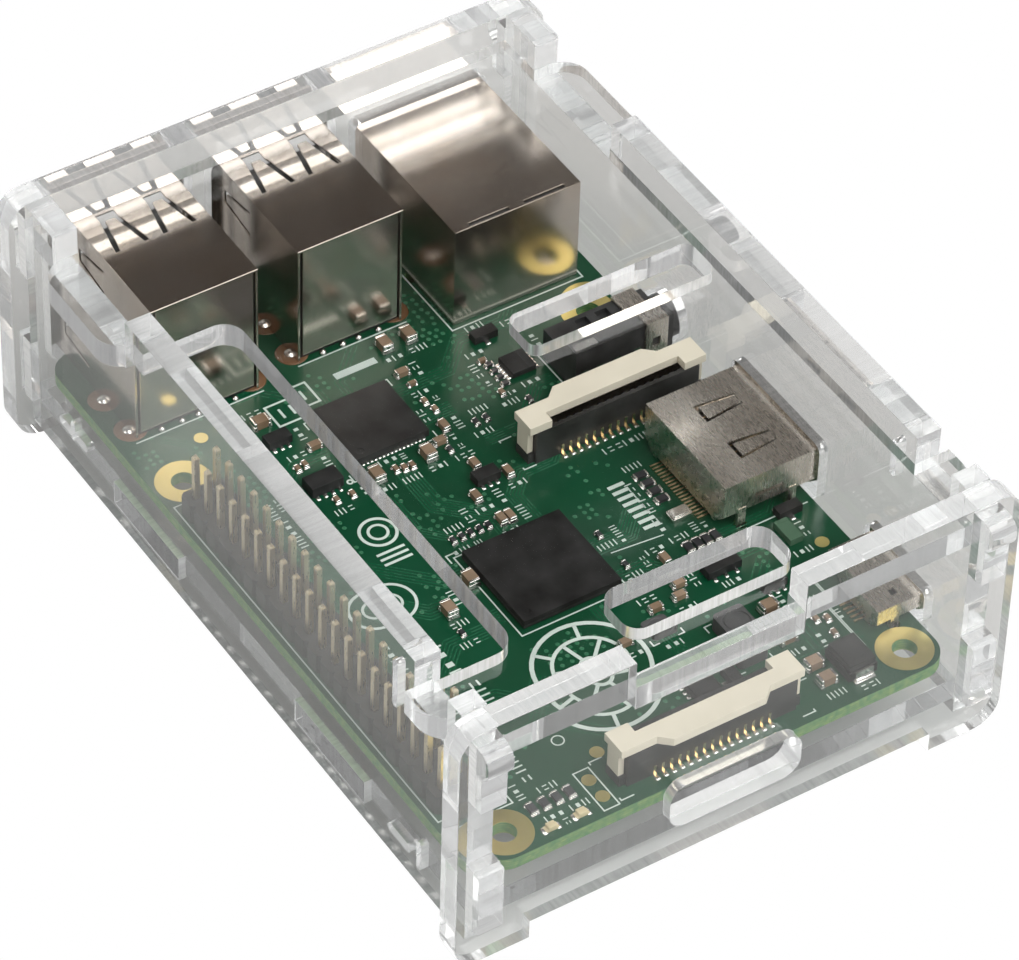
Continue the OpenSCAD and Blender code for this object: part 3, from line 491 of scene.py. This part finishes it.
def strip(bm, path, width, z_range, closed=False):
    """A flat ribbon of even width along board points; z_range is from the upper face (mm)."""
    points = [on_board(x, y).to_2d() for x, y in path]
    left, right = [], []
    for i, point in enumerate(points):
        normal, cosine = side_step(points, i, closed)
        step = normal * (width * MM / 2) * (1 / cosine)
        left.append(point + step)
        right.append(point - step)
    L0, L1, R0, R1 = [[bm.verts.new((p.x, p.y, PCB_TOP + z * MM)) for p in side]
                      for side in (left, right) for z in z_range]
    count = len(points)
    for i in range(count if closed else count - 1):
        j = (i + 1) % count
        bm.faces.new((L1[j], R1[j], R1[i], L1[i]))
        bm.faces.new((R0[i], R0[j], L0[j], L0[i]))
        bm.faces.new((L0[j], L1[j], L1[i], L0[i]))
        bm.faces.new((R1[i], R1[j], R0[j], R0[i]))
    if not closed:
        bm.faces.new((L1[0], R1[0], R0[0], L0[0]))
        bm.faces.new((R0[-1], R1[-1], L1[-1], L0[-1]))


# how far a fillet stands out (share of its growth) and how high (share of its rise)
FILLET = ((1.0, 0.0), (0.55, 0.28), (0.22, 0.68), (-0.02, 1.0))


def skirt(bm, lo, hi, grow, rise, z=PCB_TOP, sign=1):
    """Sloped solder round the foot of a box, with cut corners; lengths in metres."""
    mid_x, mid_y = (lo[0] + hi[0]) / 2, (lo[1] + hi[1]) / 2
    half_x, half_y = (hi[0] - lo[0]) / 2, (hi[1] - lo[1]) / 2
    cut = grow * 0.45
    outline_points = []
    for i, (x, y) in enumerate(((lo[0] - grow, lo[1] - grow), (hi[0] + grow, lo[1] - grow),
                                (hi[0] + grow, hi[1] + grow), (lo[0] - grow, hi[1] + grow))):
        along_x = (x + (cut if x < mid_x else -cut), y)
        along_y = (x, y + (cut if y < mid_y else -cut))
        outline_points += [along_y, along_x] if i % 2 == 0 else [along_x, along_y]
    rings = []
    for spread, height in FILLET:
        ring = []
        for x, y in outline_points:
            share_x = (x - mid_x) / (half_x + grow)
            share_y = (y - mid_y) / (half_y + grow)
            ring.append(bm.verts.new((mid_x + share_x * (half_x + grow * spread),
                                      mid_y + share_y * (half_y + grow * spread),
                                      z + sign * rise * height)))
        rings.append(ring)
    count = len(outline_points)
    for low, high in zip(rings, rings[1:]):
        for i in range(count):
            j = (i + 1) % count
            bm.faces.new((low[i], low[j], high[j], high[i])[::sign])
    bm.faces.new(rings[0][::-sign])
    bm.faces.new(rings[-1][::sign])


# ------------------------------------------------------------------ solder
SOLIDS = {name: islands(name) for name in NODES
          if name not in CLEAR_SHEETS and name != "circuit_board"}

# node, how far its solder spreads (mm), share of the part's height it climbs
FILLETED = (
    ("capacitor_terminals", 0.17, 0.55), ("resistor_terminals", 0.14, 0.6),
    ("surge_diode_terminals", 0.25, 0.35), ("regulator_leads", 0.12, 0.7),
    ("transistor_leads", 0.14, 0.7),
)
FOOT_LENGTH, FOOT_HALF_WIDTH = 0.95 * MM, 0.17 * MM  # flat connectors' contact feet
LAMP_END_X, LAMP_END_Y = 0.38 * MM, 0.16 * MM        # half sizes of a lamp's soldered ends


def solder_fillets():
    bm = bmesh.new()
    for name, grow, share in FILLETED:
        for lo, hi in SOLIDS[name]:
            if hi[2] > PCB_TOP + 0.00001:
                skirt(bm, lo, hi, grow * MM, (hi[2] - PCB_TOP) * share)
            else:
                skirt(bm, lo, hi, grow * MM, (PCB_BOTTOM - lo[2]) * share, PCB_BOTTOM, -1)
    for lo, hi in SOLIDS["network_controller_leads"]:
        skirt(bm, lo, hi, grow=0.09 * MM, rise=0.13 * MM)
    for name in ("camera_connector_contacts", "display_connector_contacts"):
        for lo, hi in SOLIDS[name]:
            # round the contact's +X end
            x, y = hi[0], (lo[1] + hi[1]) / 2
            skirt(bm, (x - FOOT_LENGTH, y - FOOT_HALF_WIDTH), (x, y + FOOT_HALF_WIDTH),
                  grow=0.13 * MM, rise=0.16 * MM)
    make("solder_fillets", bm, "solder")


# the stacked ports, in board mm: origin x, rows in y, and offsets from those
PORT_X, PORT_ROWS = 69.6, (29, 47)
TAIL_X, TAIL_Y = (0.9, 3.5), (-3.5, -1, 1, 3.5)
LEG_X, LEG_Y = (1.6, 7.0), 6.4
BEAD_X = -0.12
# turned profiles: (radius, height) in mm
TAIL_CONE = ((0.92, 0.0), (0.62, 0.25), (0.45, 0.7), (0.36, 1.15), (0.0, 1.2))
LEG_CONE = ((1.35, 0), (1.1, 0.35), (0.8, 0.9), (0.5, 1.2), (0, 1.25))
LEG_DOME = ((0.78, 0), (0.68, 0.16), (0.42, 0.36), (0.18, 0.46), (0, 0.48))
BEAD = ((0.42, 0), (0.36, 0.2), (0.2, 0.36), (0, 0.42))
FLUX = ((1.85, 0.0), (1.72, 0.05), (1.3, 0.09), (0.7, 0.12), (0, 0.13))
LEG_LAND = ((1.35, 0.0), (1.3, 0.055), (0.0, 0.06))
VIA = ((0.27, -0.01), (0.25, 0.012), (0.13, 0.014), (0.10, 0.006), (0, 0.004))


def port_legs(row):
    """Each leg of a stacked port as (x offset, side, place on the board)."""
    return [(dx, side, on_board(PORT_X + dx, row + side * LEG_Y))
            for dx in LEG_X for side in (-1, 1)]


def solder_joints():
    """Cones under the board, domes on the ports' legs, and beads and lamp ends above."""
    bm = bmesh.new()
    for lo, hi in SOLIDS["header_pins"]:
        centre = Vector(((lo[0] + hi[0]) / 2, (lo[1] + hi[1]) / 2, PCB_BOTTOM + 0.00002))
        lathe(bm, centre, TAIL_CONE, segments=12, sign=-1, widen=0.95)
    for row in PORT_ROWS:
        for dx in TAIL_X:
            for dy in TAIL_Y:
                lathe(bm, on_board(PORT_X + dx, row + dy) + TO_UNDERSIDE, TAIL_CONE,
                      segments=12, sign=-1, widen=0.85)
        for _, side, place in port_legs(row):
            lathe(bm, place + TO_UNDERSIDE, LEG_CONE, segments=16, sign=-1)
            lathe(bm, place + Vector((0, -side * 0.15 * MM, 0.02 * MM)), LEG_DOME, segments=16)
        for dy in TAIL_Y:
            lathe(bm, on_board(PORT_X + BEAD_X, row + dy) + Vector((0, 0, 0.02 * MM)), BEAD,
                  segments=12)
    for lo, hi in SOLIDS["status_leds"]:
        x = (lo[0] + hi[0]) / 2
        for y in (lo[1], hi[1]):
            skirt(bm, (x - LAMP_END_X, y - LAMP_END_Y), (x + LAMP_END_X, y + LAMP_END_Y),
                  grow=0.14 * MM, rise=0.2 * MM)
    make("solder_joints", bm, "solder")


def flux_and_lands():
    """Flux left round the legs of the stacked ports, and plated rings under it."""
    flux, lands = bmesh.new(), bmesh.new()
    for row in PORT_ROWS:
        for dx, side, place in port_legs(row):
            rng = random.Random(int(dx * 10 + row * 7 + side))
            shift = Vector((rng.uniform(-0.1, 0.1) * MM, rng.uniform(-0.1, 0.1) * MM,
                            0.001 * MM))
            lathe(flux, place + shift, FLUX, segments=20)
            lathe(lands, place, LEG_LAND, segments=20)
    make("flux_rings", flux, "flux")
    make("leg_lands", lands, "pad")


# ------------------------------------------------------------------ room on the board
EDGE_MARGIN = 0.6
# boxes on the upper face that print and vias keep clear of, in board mm
KEEP = [board_box(lo, hi) for boxes in SOLIDS.values() for lo, hi in boxes
        if hi[2] > PCB_TOP + 0.00004 and lo[2] < PCB_TOP + 0.0012]


def free(x0, y0, x1, y1, gap):
    if (x0 < EDGE_MARGIN or y0 < EDGE_MARGIN
            or x1 > BOARD_X - EDGE_MARGIN or y1 > BOARD_Y - EDGE_MARGIN):
        return False
    return all(x1 + gap < k[0] or x0 - gap > k[2] or y1 + gap < k[1] or y0 - gap > k[3]
               for k in KEEP)


def claim(x, y, along, half_length, half_height, gap):
    """Takes a place for print if it is free."""
    ex, ey = (half_length, half_height) if along == "x" else (half_height, half_length)
    box = (x - ex, y - ey, x + ex, y + ey)
    if not free(*box, gap):
        return False
    KEEP.append(box)
    return True


# ------------------------------------------------------------------ print
INK = bmesh.new()
INK_Z = (0.008, 0.02)
RING_POINTS = 40
TALLY_STEP, TALLY_HALF_HEIGHT = 0.52, 0.55  # shares of a tally's size


def line(points, width, closed=False):
    strip(INK, points, width, INK_Z, closed)


def ring(x, y, radius, width):
    angles = [math.radians(360.0 * i / RING_POINTS) for i in range(RING_POINTS)]
    line([(x + radius * math.cos(a), y + radius * math.sin(a)) for a in angles], width, True)


def outline(x0, y0, x1, y1, width, part=1.0):
    """A rectangle, or only that part of its sides next to each corner."""
    if part >= 1:
        line([(x0, y0), (x1, y0), (x1, y1), (x0, y1)], width, True)
        return
    reach_x, reach_y = (x1 - x0) * part / 2, (y1 - y0) * part / 2
    for x, sx in ((x0, 1), (x1, -1)):
        for y, sy in ((y0, 1), (y1, -1)):
            line([(x + sx * reach_x, y), (x, y), (x, y + sy * reach_y)], width)


def tally(x, y, along, count, size, seed):
    """A short row of uprights, blocks and pairs of dashes, that stand for no character."""
    rng = random.Random(seed)
    step = size * TALLY_STEP
    half = size * 0.46

    def put(points):
        line([(x + a, y + b) if along == "x" else (x + b, y + a) for a, b in points],
             size * 0.15)

    i = 0
    while i < count:
        a = (i - (count - 1) / 2) * step
        kind = rng.choice("uuubd") if i < count - 1 else "u"
        if kind == "u":
            put([(a, -half), (a, half)])
            i += 1
            continue
        if kind == "b":
            for k in (-0.12, 0.02, 0.16):
                middle = a + step * (0.3 + 2 * k)
                put([(middle, -half * 0.62), (middle, half * 0.62)])
        else:
            for k in (-0.6, 0.6):
                put([(a - step * 0.2, half * k), (a + step * 0.85, half * k)])
        i += 2


MARKED_PARTS = ("capacitor_bodies", "resistor_bodies", "regulator_chips", "small_transistors",
                "crystals", "surge_diode_body", "power_fuse", "power_inductors", "status_leds")


def mark_part(box, seed):
    """Prints a tally beside a part, the largest that finds room."""
    x0, y0, x1, y1 = box
    x, y, half_x, half_y = (x0 + x1) / 2, (y0 + y1) / 2, (x1 - x0) / 2, (y1 - y0) / 2
    for size, count in ((0.95, 5), (0.8, 4), (0.7, 3)):
        length = size * TALLY_STEP * count / 2 + 0.05
        height = size * TALLY_HALF_HEIGHT
        for px, py, along in ((x - half_x - height - 0.75, y, "y"),
                              (x + half_x + height + 0.75, y, "y"),
                              (x, y - half_y - height - 0.75, "x"),
                              (x, y + half_y + height + 0.75, "x"),
                              (x - half_x - length - 0.85, y, "x"),
                              (x + half_x + length + 0.85, y, "x")):
            if claim(px, py, along, length, height, gap=0.12):
                tally(px, py, along, count, size, seed)
                return


def part_tallies():
    boxes = [board_box(lo, hi) for name in MARKED_PARTS for lo, hi in SOLIDS[name]
             if hi[2] >= PCB_TOP]
    for i, box in enumerate(boxes):
        mark_part(box, seed=1000 + i)


def part_outlines():
    """Frames, corners and lines round the larger parts: places, then line width, in mm."""
    outline(22.7, 23.8, 35.9, 37.0, 0.17)
    line([(35.3, 37.6), (36.5, 37.6), (36.5, 36.4)], 0.17)
    outline(52.0, 28.8, 62.4, 39.2, 0.15, part=0.22)
    ring(52.3, 39.6, 0.28, 0.2)
    outline(43.1, 0.5, 48.1, 23.6, 0.16, part=0.13)
    outline(1.0, 16.4, 7.0, 40.1, 0.16, part=0.13)
    outline(9.2, 15.8, 14.0, 20.3, 0.16, part=0.4)
    outline(14.5, 22.4, 18.3, 26.2, 0.16, part=0.4)
    outline(0.7, 40.5, 6.5, 42.35, 0.16)
    outline(6.4, 49.6, 58.6, 55.35, 0.17)
    outline(65.2, 1.9, 84.3, 18.7, 0.18)
    line([(69.0, 22.2), (69.0, 35.9)], 0.18)
    line([(69.0, 40.2), (69.0, 53.9)], 0.18)
    line([(49.6, 0.7), (49.6, 12.9), (57.4, 12.9), (57.4, 0.7)], 0.17)
    line([(23.6, 0.7), (23.6, 12.6)], 0.17)
    line([(28.0, 22.6), (27.4, 16.4)], 0.14)
    outline(6.0, 6.7, 15.4, 6.9, 0.14)


def plain_marks():
    """Bars, rings and blocks in the places of marks."""
    for i in range(8):
        x = 29.2 + i * 0.98
        line([(x, 15.7), (x, 17.7)], 0.5)
    line([(65.6, 28.2), (65.6, 33.4)], 0.95)
    outline(63.3, 36.6, 66.6, 41.6, 0.26)
    for y in (37.8, 39.1, 40.4):
        line([(64.2, y), (65.7, y)], 0.3)
    ring(44.4, 41.0, 2.0, 0.36)
    ring(44.4, 41.0, 1.05, 0.32)
    for k in (0, 0.8, 1.6):
        line([(41.4 - k, 43.0), (41.4 - k, 39.6)], 0.34)
    ring(34.9, 45.3, 2.7, 0.34)
    ring(34.9, 45.3, 1.2, 0.3)
    ring(11.2, 41.1, 0.65, 0.15)


def emblem(x=15.4, y=33.2, width=0.42):
    """Three rings with six spokes in each gap, the outer spokes half a step round."""
    for radius, ring_width in ((6.2, 0.5), (4.1, width), (1.2, width)):
        ring(x, y, radius, ring_width)
    for k in range(6):
        inner = math.radians(60 * k + 15)
        for angle, start, end in ((inner, 1.4, 3.95), (inner + math.radians(30), 4.3, 6.0)):
            line([(x + r * math.cos(angle), y + r * math.sin(angle)) for r in (start, end)],
                 width)


# longer rows of print: middle x, y, direction, count, size, seed
LONG_TALLIES = (
    (21.2, 44.8, "x", 16, 1.5, 501), (12.6, 46.6, "x", 14, 1.3, 502),
    (9.2, 45.2, "y", 9, 1.1, 503), (41.0, 11.8, "y", 13, 1.0, 505),
    (9.3, 28.8, "y", 12, 0.9, 506), (62.8, 1.4, "x", 7, 0.9, 508),
    (30.0, 20.4, "x", 7, 0.8, 509), (54.8, 23.6, "x", 10, 0.8, 510),
    (54.8, 22.3, "x", 10, 0.8, 511), (54.8, 21.0, "x", 10, 0.8, 512),
    (27.4, 47.2, "x", 10, 1.1, 513), (48.6, 46.6, "x", 9, 1.0, 514),
    (52.6, 47.0, "x", 5, 1.0, 515), (25.2, 20.2, "x", 5, 0.75, 516),
)


def long_tallies():
    for x, y, along, count, size, seed in LONG_TALLIES:
        if claim(x, y, along, size * TALLY_STEP * count / 2, size * TALLY_HALF_HEIGHT, gap=0.0):
            tally(x, y, along, count, size, seed)


# ------------------------------------------------------------------ copper
# bundles of tracks: middle path in board mm, number of tracks, pitch in mm
TRACKS = (
    ([(36.4, 30), (39.0, 30), (43.5, 34.5), (51.5, 34.5)], 7, 0.36),
    ([(36.4, 26.6), (40.5, 26.6), (43, 24.1), (43, 20.4), (44.2, 19.2)], 6, 0.34),
    ([(29.5, 23.6), (29.5, 19.6), (31.8, 17.3), (31.8, 14.0)], 8, 0.32),
    ([(24.9, 23.6), (24.9, 20.6), (22.0, 17.7), (22.0, 8.0), (20.0, 6.0)], 4, 0.42),
    ([(22.5, 28.2), (19.5, 28.2), (15.5, 24.2), (8.6, 24.2)], 5, 0.36),
    ([(26.4, 37.3), (26.4, 43.2), (22.5, 47.1), (22.5, 49.4)], 6, 0.4),
    ([(31.6, 37.3), (31.6, 42.6), (36.4, 47.4), (36.4, 49.4)], 6, 0.4),
    ([(34.6, 37.3), (34.6, 39.0), (43.2, 47.6), (43.2, 49.4)], 5, 0.42),
    ([(57.4, 39.2), (57.4, 43.4), (53.0, 47.8), (53.0, 49.4)], 4, 0.42),
    ([(62.4, 33.4), (64.6, 33.4), (68.9, 29.1)], 3, 0.5),
    ([(62.4, 36.2), (64.4, 36.2), (69.2, 41.0), (69.2, 44.0)], 3, 0.5),
    ([(60.2, 28.8), (60.2, 22.5), (63.6, 19.1), (63.6, 13.0), (65.0, 11.6)], 5, 0.4),
    ([(55.2, 28.8), (55.2, 25.0)], 6, 0.36),
    ([(17.2, 38.5), (13.0, 42.7), (13.0, 49.4)], 4, 0.45),
    ([(7.2, 36.0), (9.5, 36.0), (17.2, 43.7), (17.2, 49.4)], 4, 0.45),
    ([(24.6, 13.4), (24.6, 5.2), (26.0, 3.8)], 3, 0.4),
    ([(48.9, 24.6), (48.9, 20.0), (53.5, 15.4), (53.5, 13.4)], 5, 0.36),
    ([(46.6, 38.0), (41.0, 38.0), (38.0, 35.0), (36.4, 35.0)], 4, 0.36),
    ([(8.2, 10.8), (18.0, 10.8), (20.2, 8.6)], 3, 0.7),
    ([(3.6, 21.0), (3.6, 17.6), (7.6, 13.6), (7.6, 6.0)], 2, 0.8),
    ([(72.0, 19.6), (72.0, 21.6), (82.6, 21.6)], 3, 0.5),
    ([(76.0, 38.2), (83.6, 38.2)], 3, 0.5),
    ([(59.4, 49.2), (66.0, 49.2), (68.2, 51.4)], 3, 0.4),
    ([(9.4, 47.6), (58.0, 47.6)], 2, 0.5),
)
TRACK_WIDTH, TRACK_Z = 0.13, (-0.01, 0.006)


def copper_tracks():
    """Bundles of parallel lines under the green mask."""
    bm = bmesh.new()
    for path, count, pitch in TRACKS:
        points = [Vector(p) for p in path]
        for k in range(count):
            offset = (k - (count - 1) / 2) * pitch
            shifted = []
            for i, point in enumerate(points):
                normal, cosine = side_step(points, i)
                shifted.append(tuple(point + normal / cosine * offset))
            strip(bm, shifted, TRACK_WIDTH, TRACK_Z)
    make("copper_tracks", bm, "track", smooth=False)


VIA_COUNT, VIA_TRIES = 330, 6000
VIA_ROOM = 0.3      # half size of the clear square each needs
VIA_APART_SQ = 0.6  # least squared distance between two


def board_vias():
    """Small holes that join the layers, scattered and in clusters."""
    bm = bmesh.new()
    rng = random.Random(77)
    placed = []
    tries = 0
    while len(placed) < VIA_COUNT and tries < VIA_TRIES:
        tries += 1
        x, y = rng.uniform(1.2, 83.8), rng.uniform(1.2, 54.6)
        if rng.random() < 0.6 and placed:
            # beside one that is already there
            near_x, near_y = placed[rng.randrange(len(placed))]
            x = near_x + rng.choice((-0.9, 0.9, 0, 0.8))
            y = near_y + rng.choice((-0.9, 0, 0.9, 1.2))
        if (free(x - VIA_ROOM, y - VIA_ROOM, x + VIA_ROOM, y + VIA_ROOM, gap=0.05)
                and all((x - a) ** 2 + (y - b) ** 2 > VIA_APART_SQ for a, b in placed)):
            placed.append((x, y))
            lathe(bm, on_board(x, y), VIA, segments=10)
    make("board_vias", bm, "via")


# ------------------------------------------------------------------ card socket spring
WIRE_RADIUS = 0.0001
TURNS, TURN_STEPS, WIRE_SIDES = 8.0, 22, 8
CLOSED_TURNS = 1.0                # close-wound turns at each end
CLOSED_PITCH = 2.15 * WIRE_RADIUS


def card_spring():
    """One wound wire in place of the plain rings."""
    lo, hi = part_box("card_socket_spring")
    coil_radius = (hi.y - lo.y) / 2 - WIRE_RADIUS
    mid_y, mid_z = (lo.y + hi.y) / 2, (lo.z + hi.z) / 2
    span = (hi.x - lo.x) - 2 * WIRE_RADIUS
    open_pitch = (span - 2 * CLOSED_TURNS * CLOSED_PITCH) / (TURNS - 2 * CLOSED_TURNS)

    def wire_x(turn):
        if turn < CLOSED_TURNS:
            return turn * CLOSED_PITCH
        if turn > TURNS - CLOSED_TURNS:
            return span - (TURNS - turn) * CLOSED_PITCH
        return CLOSED_TURNS * CLOSED_PITCH + (turn - CLOSED_TURNS) * open_pitch

    bm = bmesh.new()
    along = Vector((1, 0, 0))
    rings = []
    for i in range(int(TURNS * TURN_STEPS) + 1):
        turn = i / TURN_STEPS
        angle = 2 * math.pi * turn
        radial = Vector((0, math.cos(angle), math.sin(angle)))
        centre = Vector((lo.x + WIRE_RADIUS + wire_x(turn), mid_y, mid_z)) + radial * coil_radius
        section = [2 * math.pi * k / WIRE_SIDES for k in range(WIRE_SIDES)]
        rings.append([bm.verts.new(centre + (radial * math.cos(a) + along * math.sin(a))
                                   * WIRE_RADIUS) for a in section])
    for a, b in zip(rings, rings[1:]):
        for k in range(WIRE_SIDES):
            j = (k + 1) % WIRE_SIDES
            bm.faces.new((a[k], b[k], b[j], a[j]))
    bm.faces.new(rings[0])
    bm.faces.new(rings[-1][::-1])
    bmesh.ops.recalc_face_normals(bm, faces=bm.faces)
    coil = make("card_spring_wire", bm, "wire")
    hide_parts("card_socket_spring")
    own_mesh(coil)


# ------------------------------------------------------------------ camera, floor, lights
def add_camera():
    """Looks down at the case from +X, -Y."""
    cam = bpy.data.objects.new("camera", bpy.data.cameras.new("camera"))
    scene.collection.objects.link(cam)
    azimuth, elevation, roll = (math.radians(d) for d in (56.075, 44.534, 1.90))
    distance, shift_right, shift_up, target_z = 628.2, 1.81, 1.874, 10.6  # mm
    back = Vector((math.sin(azimuth) * math.cos(elevation),
                   -math.cos(azimuth) * math.cos(elevation), math.sin(elevation)))
    level = Vector((0, 0, 1)).cross(back).normalized()
    upright = back.cross(level)
    right = level * math.cos(roll) + upright * math.sin(roll)
    up = upright * math.cos(roll) - level * math.sin(roll)
    place = (back * distance + right * shift_right + up * shift_up
             + Vector((0, 0, target_z))) * MM
    rows = [(right[k], up[k], back[k], place[k]) for k in range(3)]
    cam.matrix_world = Matrix((*rows, (0, 0, 0, 1)))
    cam.data.sensor_fit = "HORIZONTAL"
    cam.data.sensor_width = 36
    cam.data.lens = 210.3262
    cam.data.clip_start = 0.02
    cam.data.clip_end = 50
    scene.camera = cam


def floor_material():
    """Pale grey to light, plain white to the camera."""
    m = material("pale_floor")
    shade = m.mix(m.noise(scale=3, detail=3), (0.54, 0.54, 0.54), (0.58, 0.58, 0.58))
    matt = m.shader("BsdfPrincipled", {"Base Color": shade, "Roughness": 0.85,
                                       "Specular IOR Level": 0.1})
    white = m.shader("Emission", {"Color": WHITE, "Strength": 1.0})
    seen = m.node("LightPath").outputs["Is Camera Ray"]
    return m.finish(m.mix_shader(seen, matt, white))


def add_floor():
    bm = bmesh.new()
    bmesh.ops.create_grid(bm, x_segments=8, y_segments=8, size=12)
    mesh = bpy.data.meshes.new("floor")
    bm.to_mesh(mesh)
    bm.free()
    floor = bpy.data.objects.new("floor", mesh)
    scene.collection.objects.link(floor)
    mesh.materials.append(floor_material())
    floor.location.z = -0.00002


# name, place, target, width, depth (m), power (W), colour
LIGHTS = (
    ("soft_overhead", (0.70, 0.25, 1.0), (0, 0, 0), 1.6, 1.4, 27, (1.0, 0.99, 0.97)),
    ("soft_left", (-0.2, -1.3, 0.7), (0, 0, 0.02), 0.9, 0.7, 6, (1.0, 0.98, 0.95)),
    ("soft_far", (-1.4, 0.55, 0.62), (0, 0, 0.02), 1.2, 0.45, 5, (1.0, 0.98, 0.96)),
)


def add_lights():
    for name, place, target, width, depth, power, colour in LIGHTS:
        light = bpy.data.lights.new(name, "AREA")
        light.shape = "RECTANGLE"
        light.size, light.size_y = width, depth
        light.energy, light.color = power, colour
        ob = bpy.data.objects.new(name, light)
        ob.location = place
        direction = Vector(target) - Vector(place)
        ob.rotation_euler = direction.to_track_quat("-Z", "Y").to_euler()
        scene.collection.objects.link(ob)


def add_world():
    """White to the camera; to other rays grey at the horizon and darker above."""
    scene.world = bpy.data.worlds.new("studio")
    w = Graph(scene.world, "OutputWorld")
    sky = w.ramp(w.part(w.place.outputs["Generated"], "Z"), start=0.0, end=0.5,
                 low=(0.55, 0.55, 0.55), high=(0.036, 0.028, 0.023))
    room = w.shader("Background", {"Color": sky})
    white = w.shader("Background", {"Color": WHITE})
    w.finish(w.mix_shader(w.node("LightPath").outputs["Is Camera Ray"], room, white))


def render_settings():
    scene.view_settings.view_transform = "Standard"
    scene.view_settings.look = "None"
    cycles = scene.cycles
    cycles.max_bounces = 18
    cycles.transmission_bounces = 16
    cycles.glossy_bounces = 8
    cycles.diffuse_bounces = 4
    cycles.transparent_max_bounces = 32
    cycles.caustics_refractive = True
    cycles.caustics_reflective = False
    cycles.sample_clamp_indirect = 6.0
    cycles.use_denoising = True


solder_fillets()
solder_joints()
flux_and_lands()
part_tallies()
part_outlines()
plain_marks()
emblem()
long_tallies()
make("printed_marks", INK, "ink", smooth=False)
copper_tracks()
board_vias()
card_spring()
add_camera()
add_floor()
add_lights()
add_world()
render_settings()
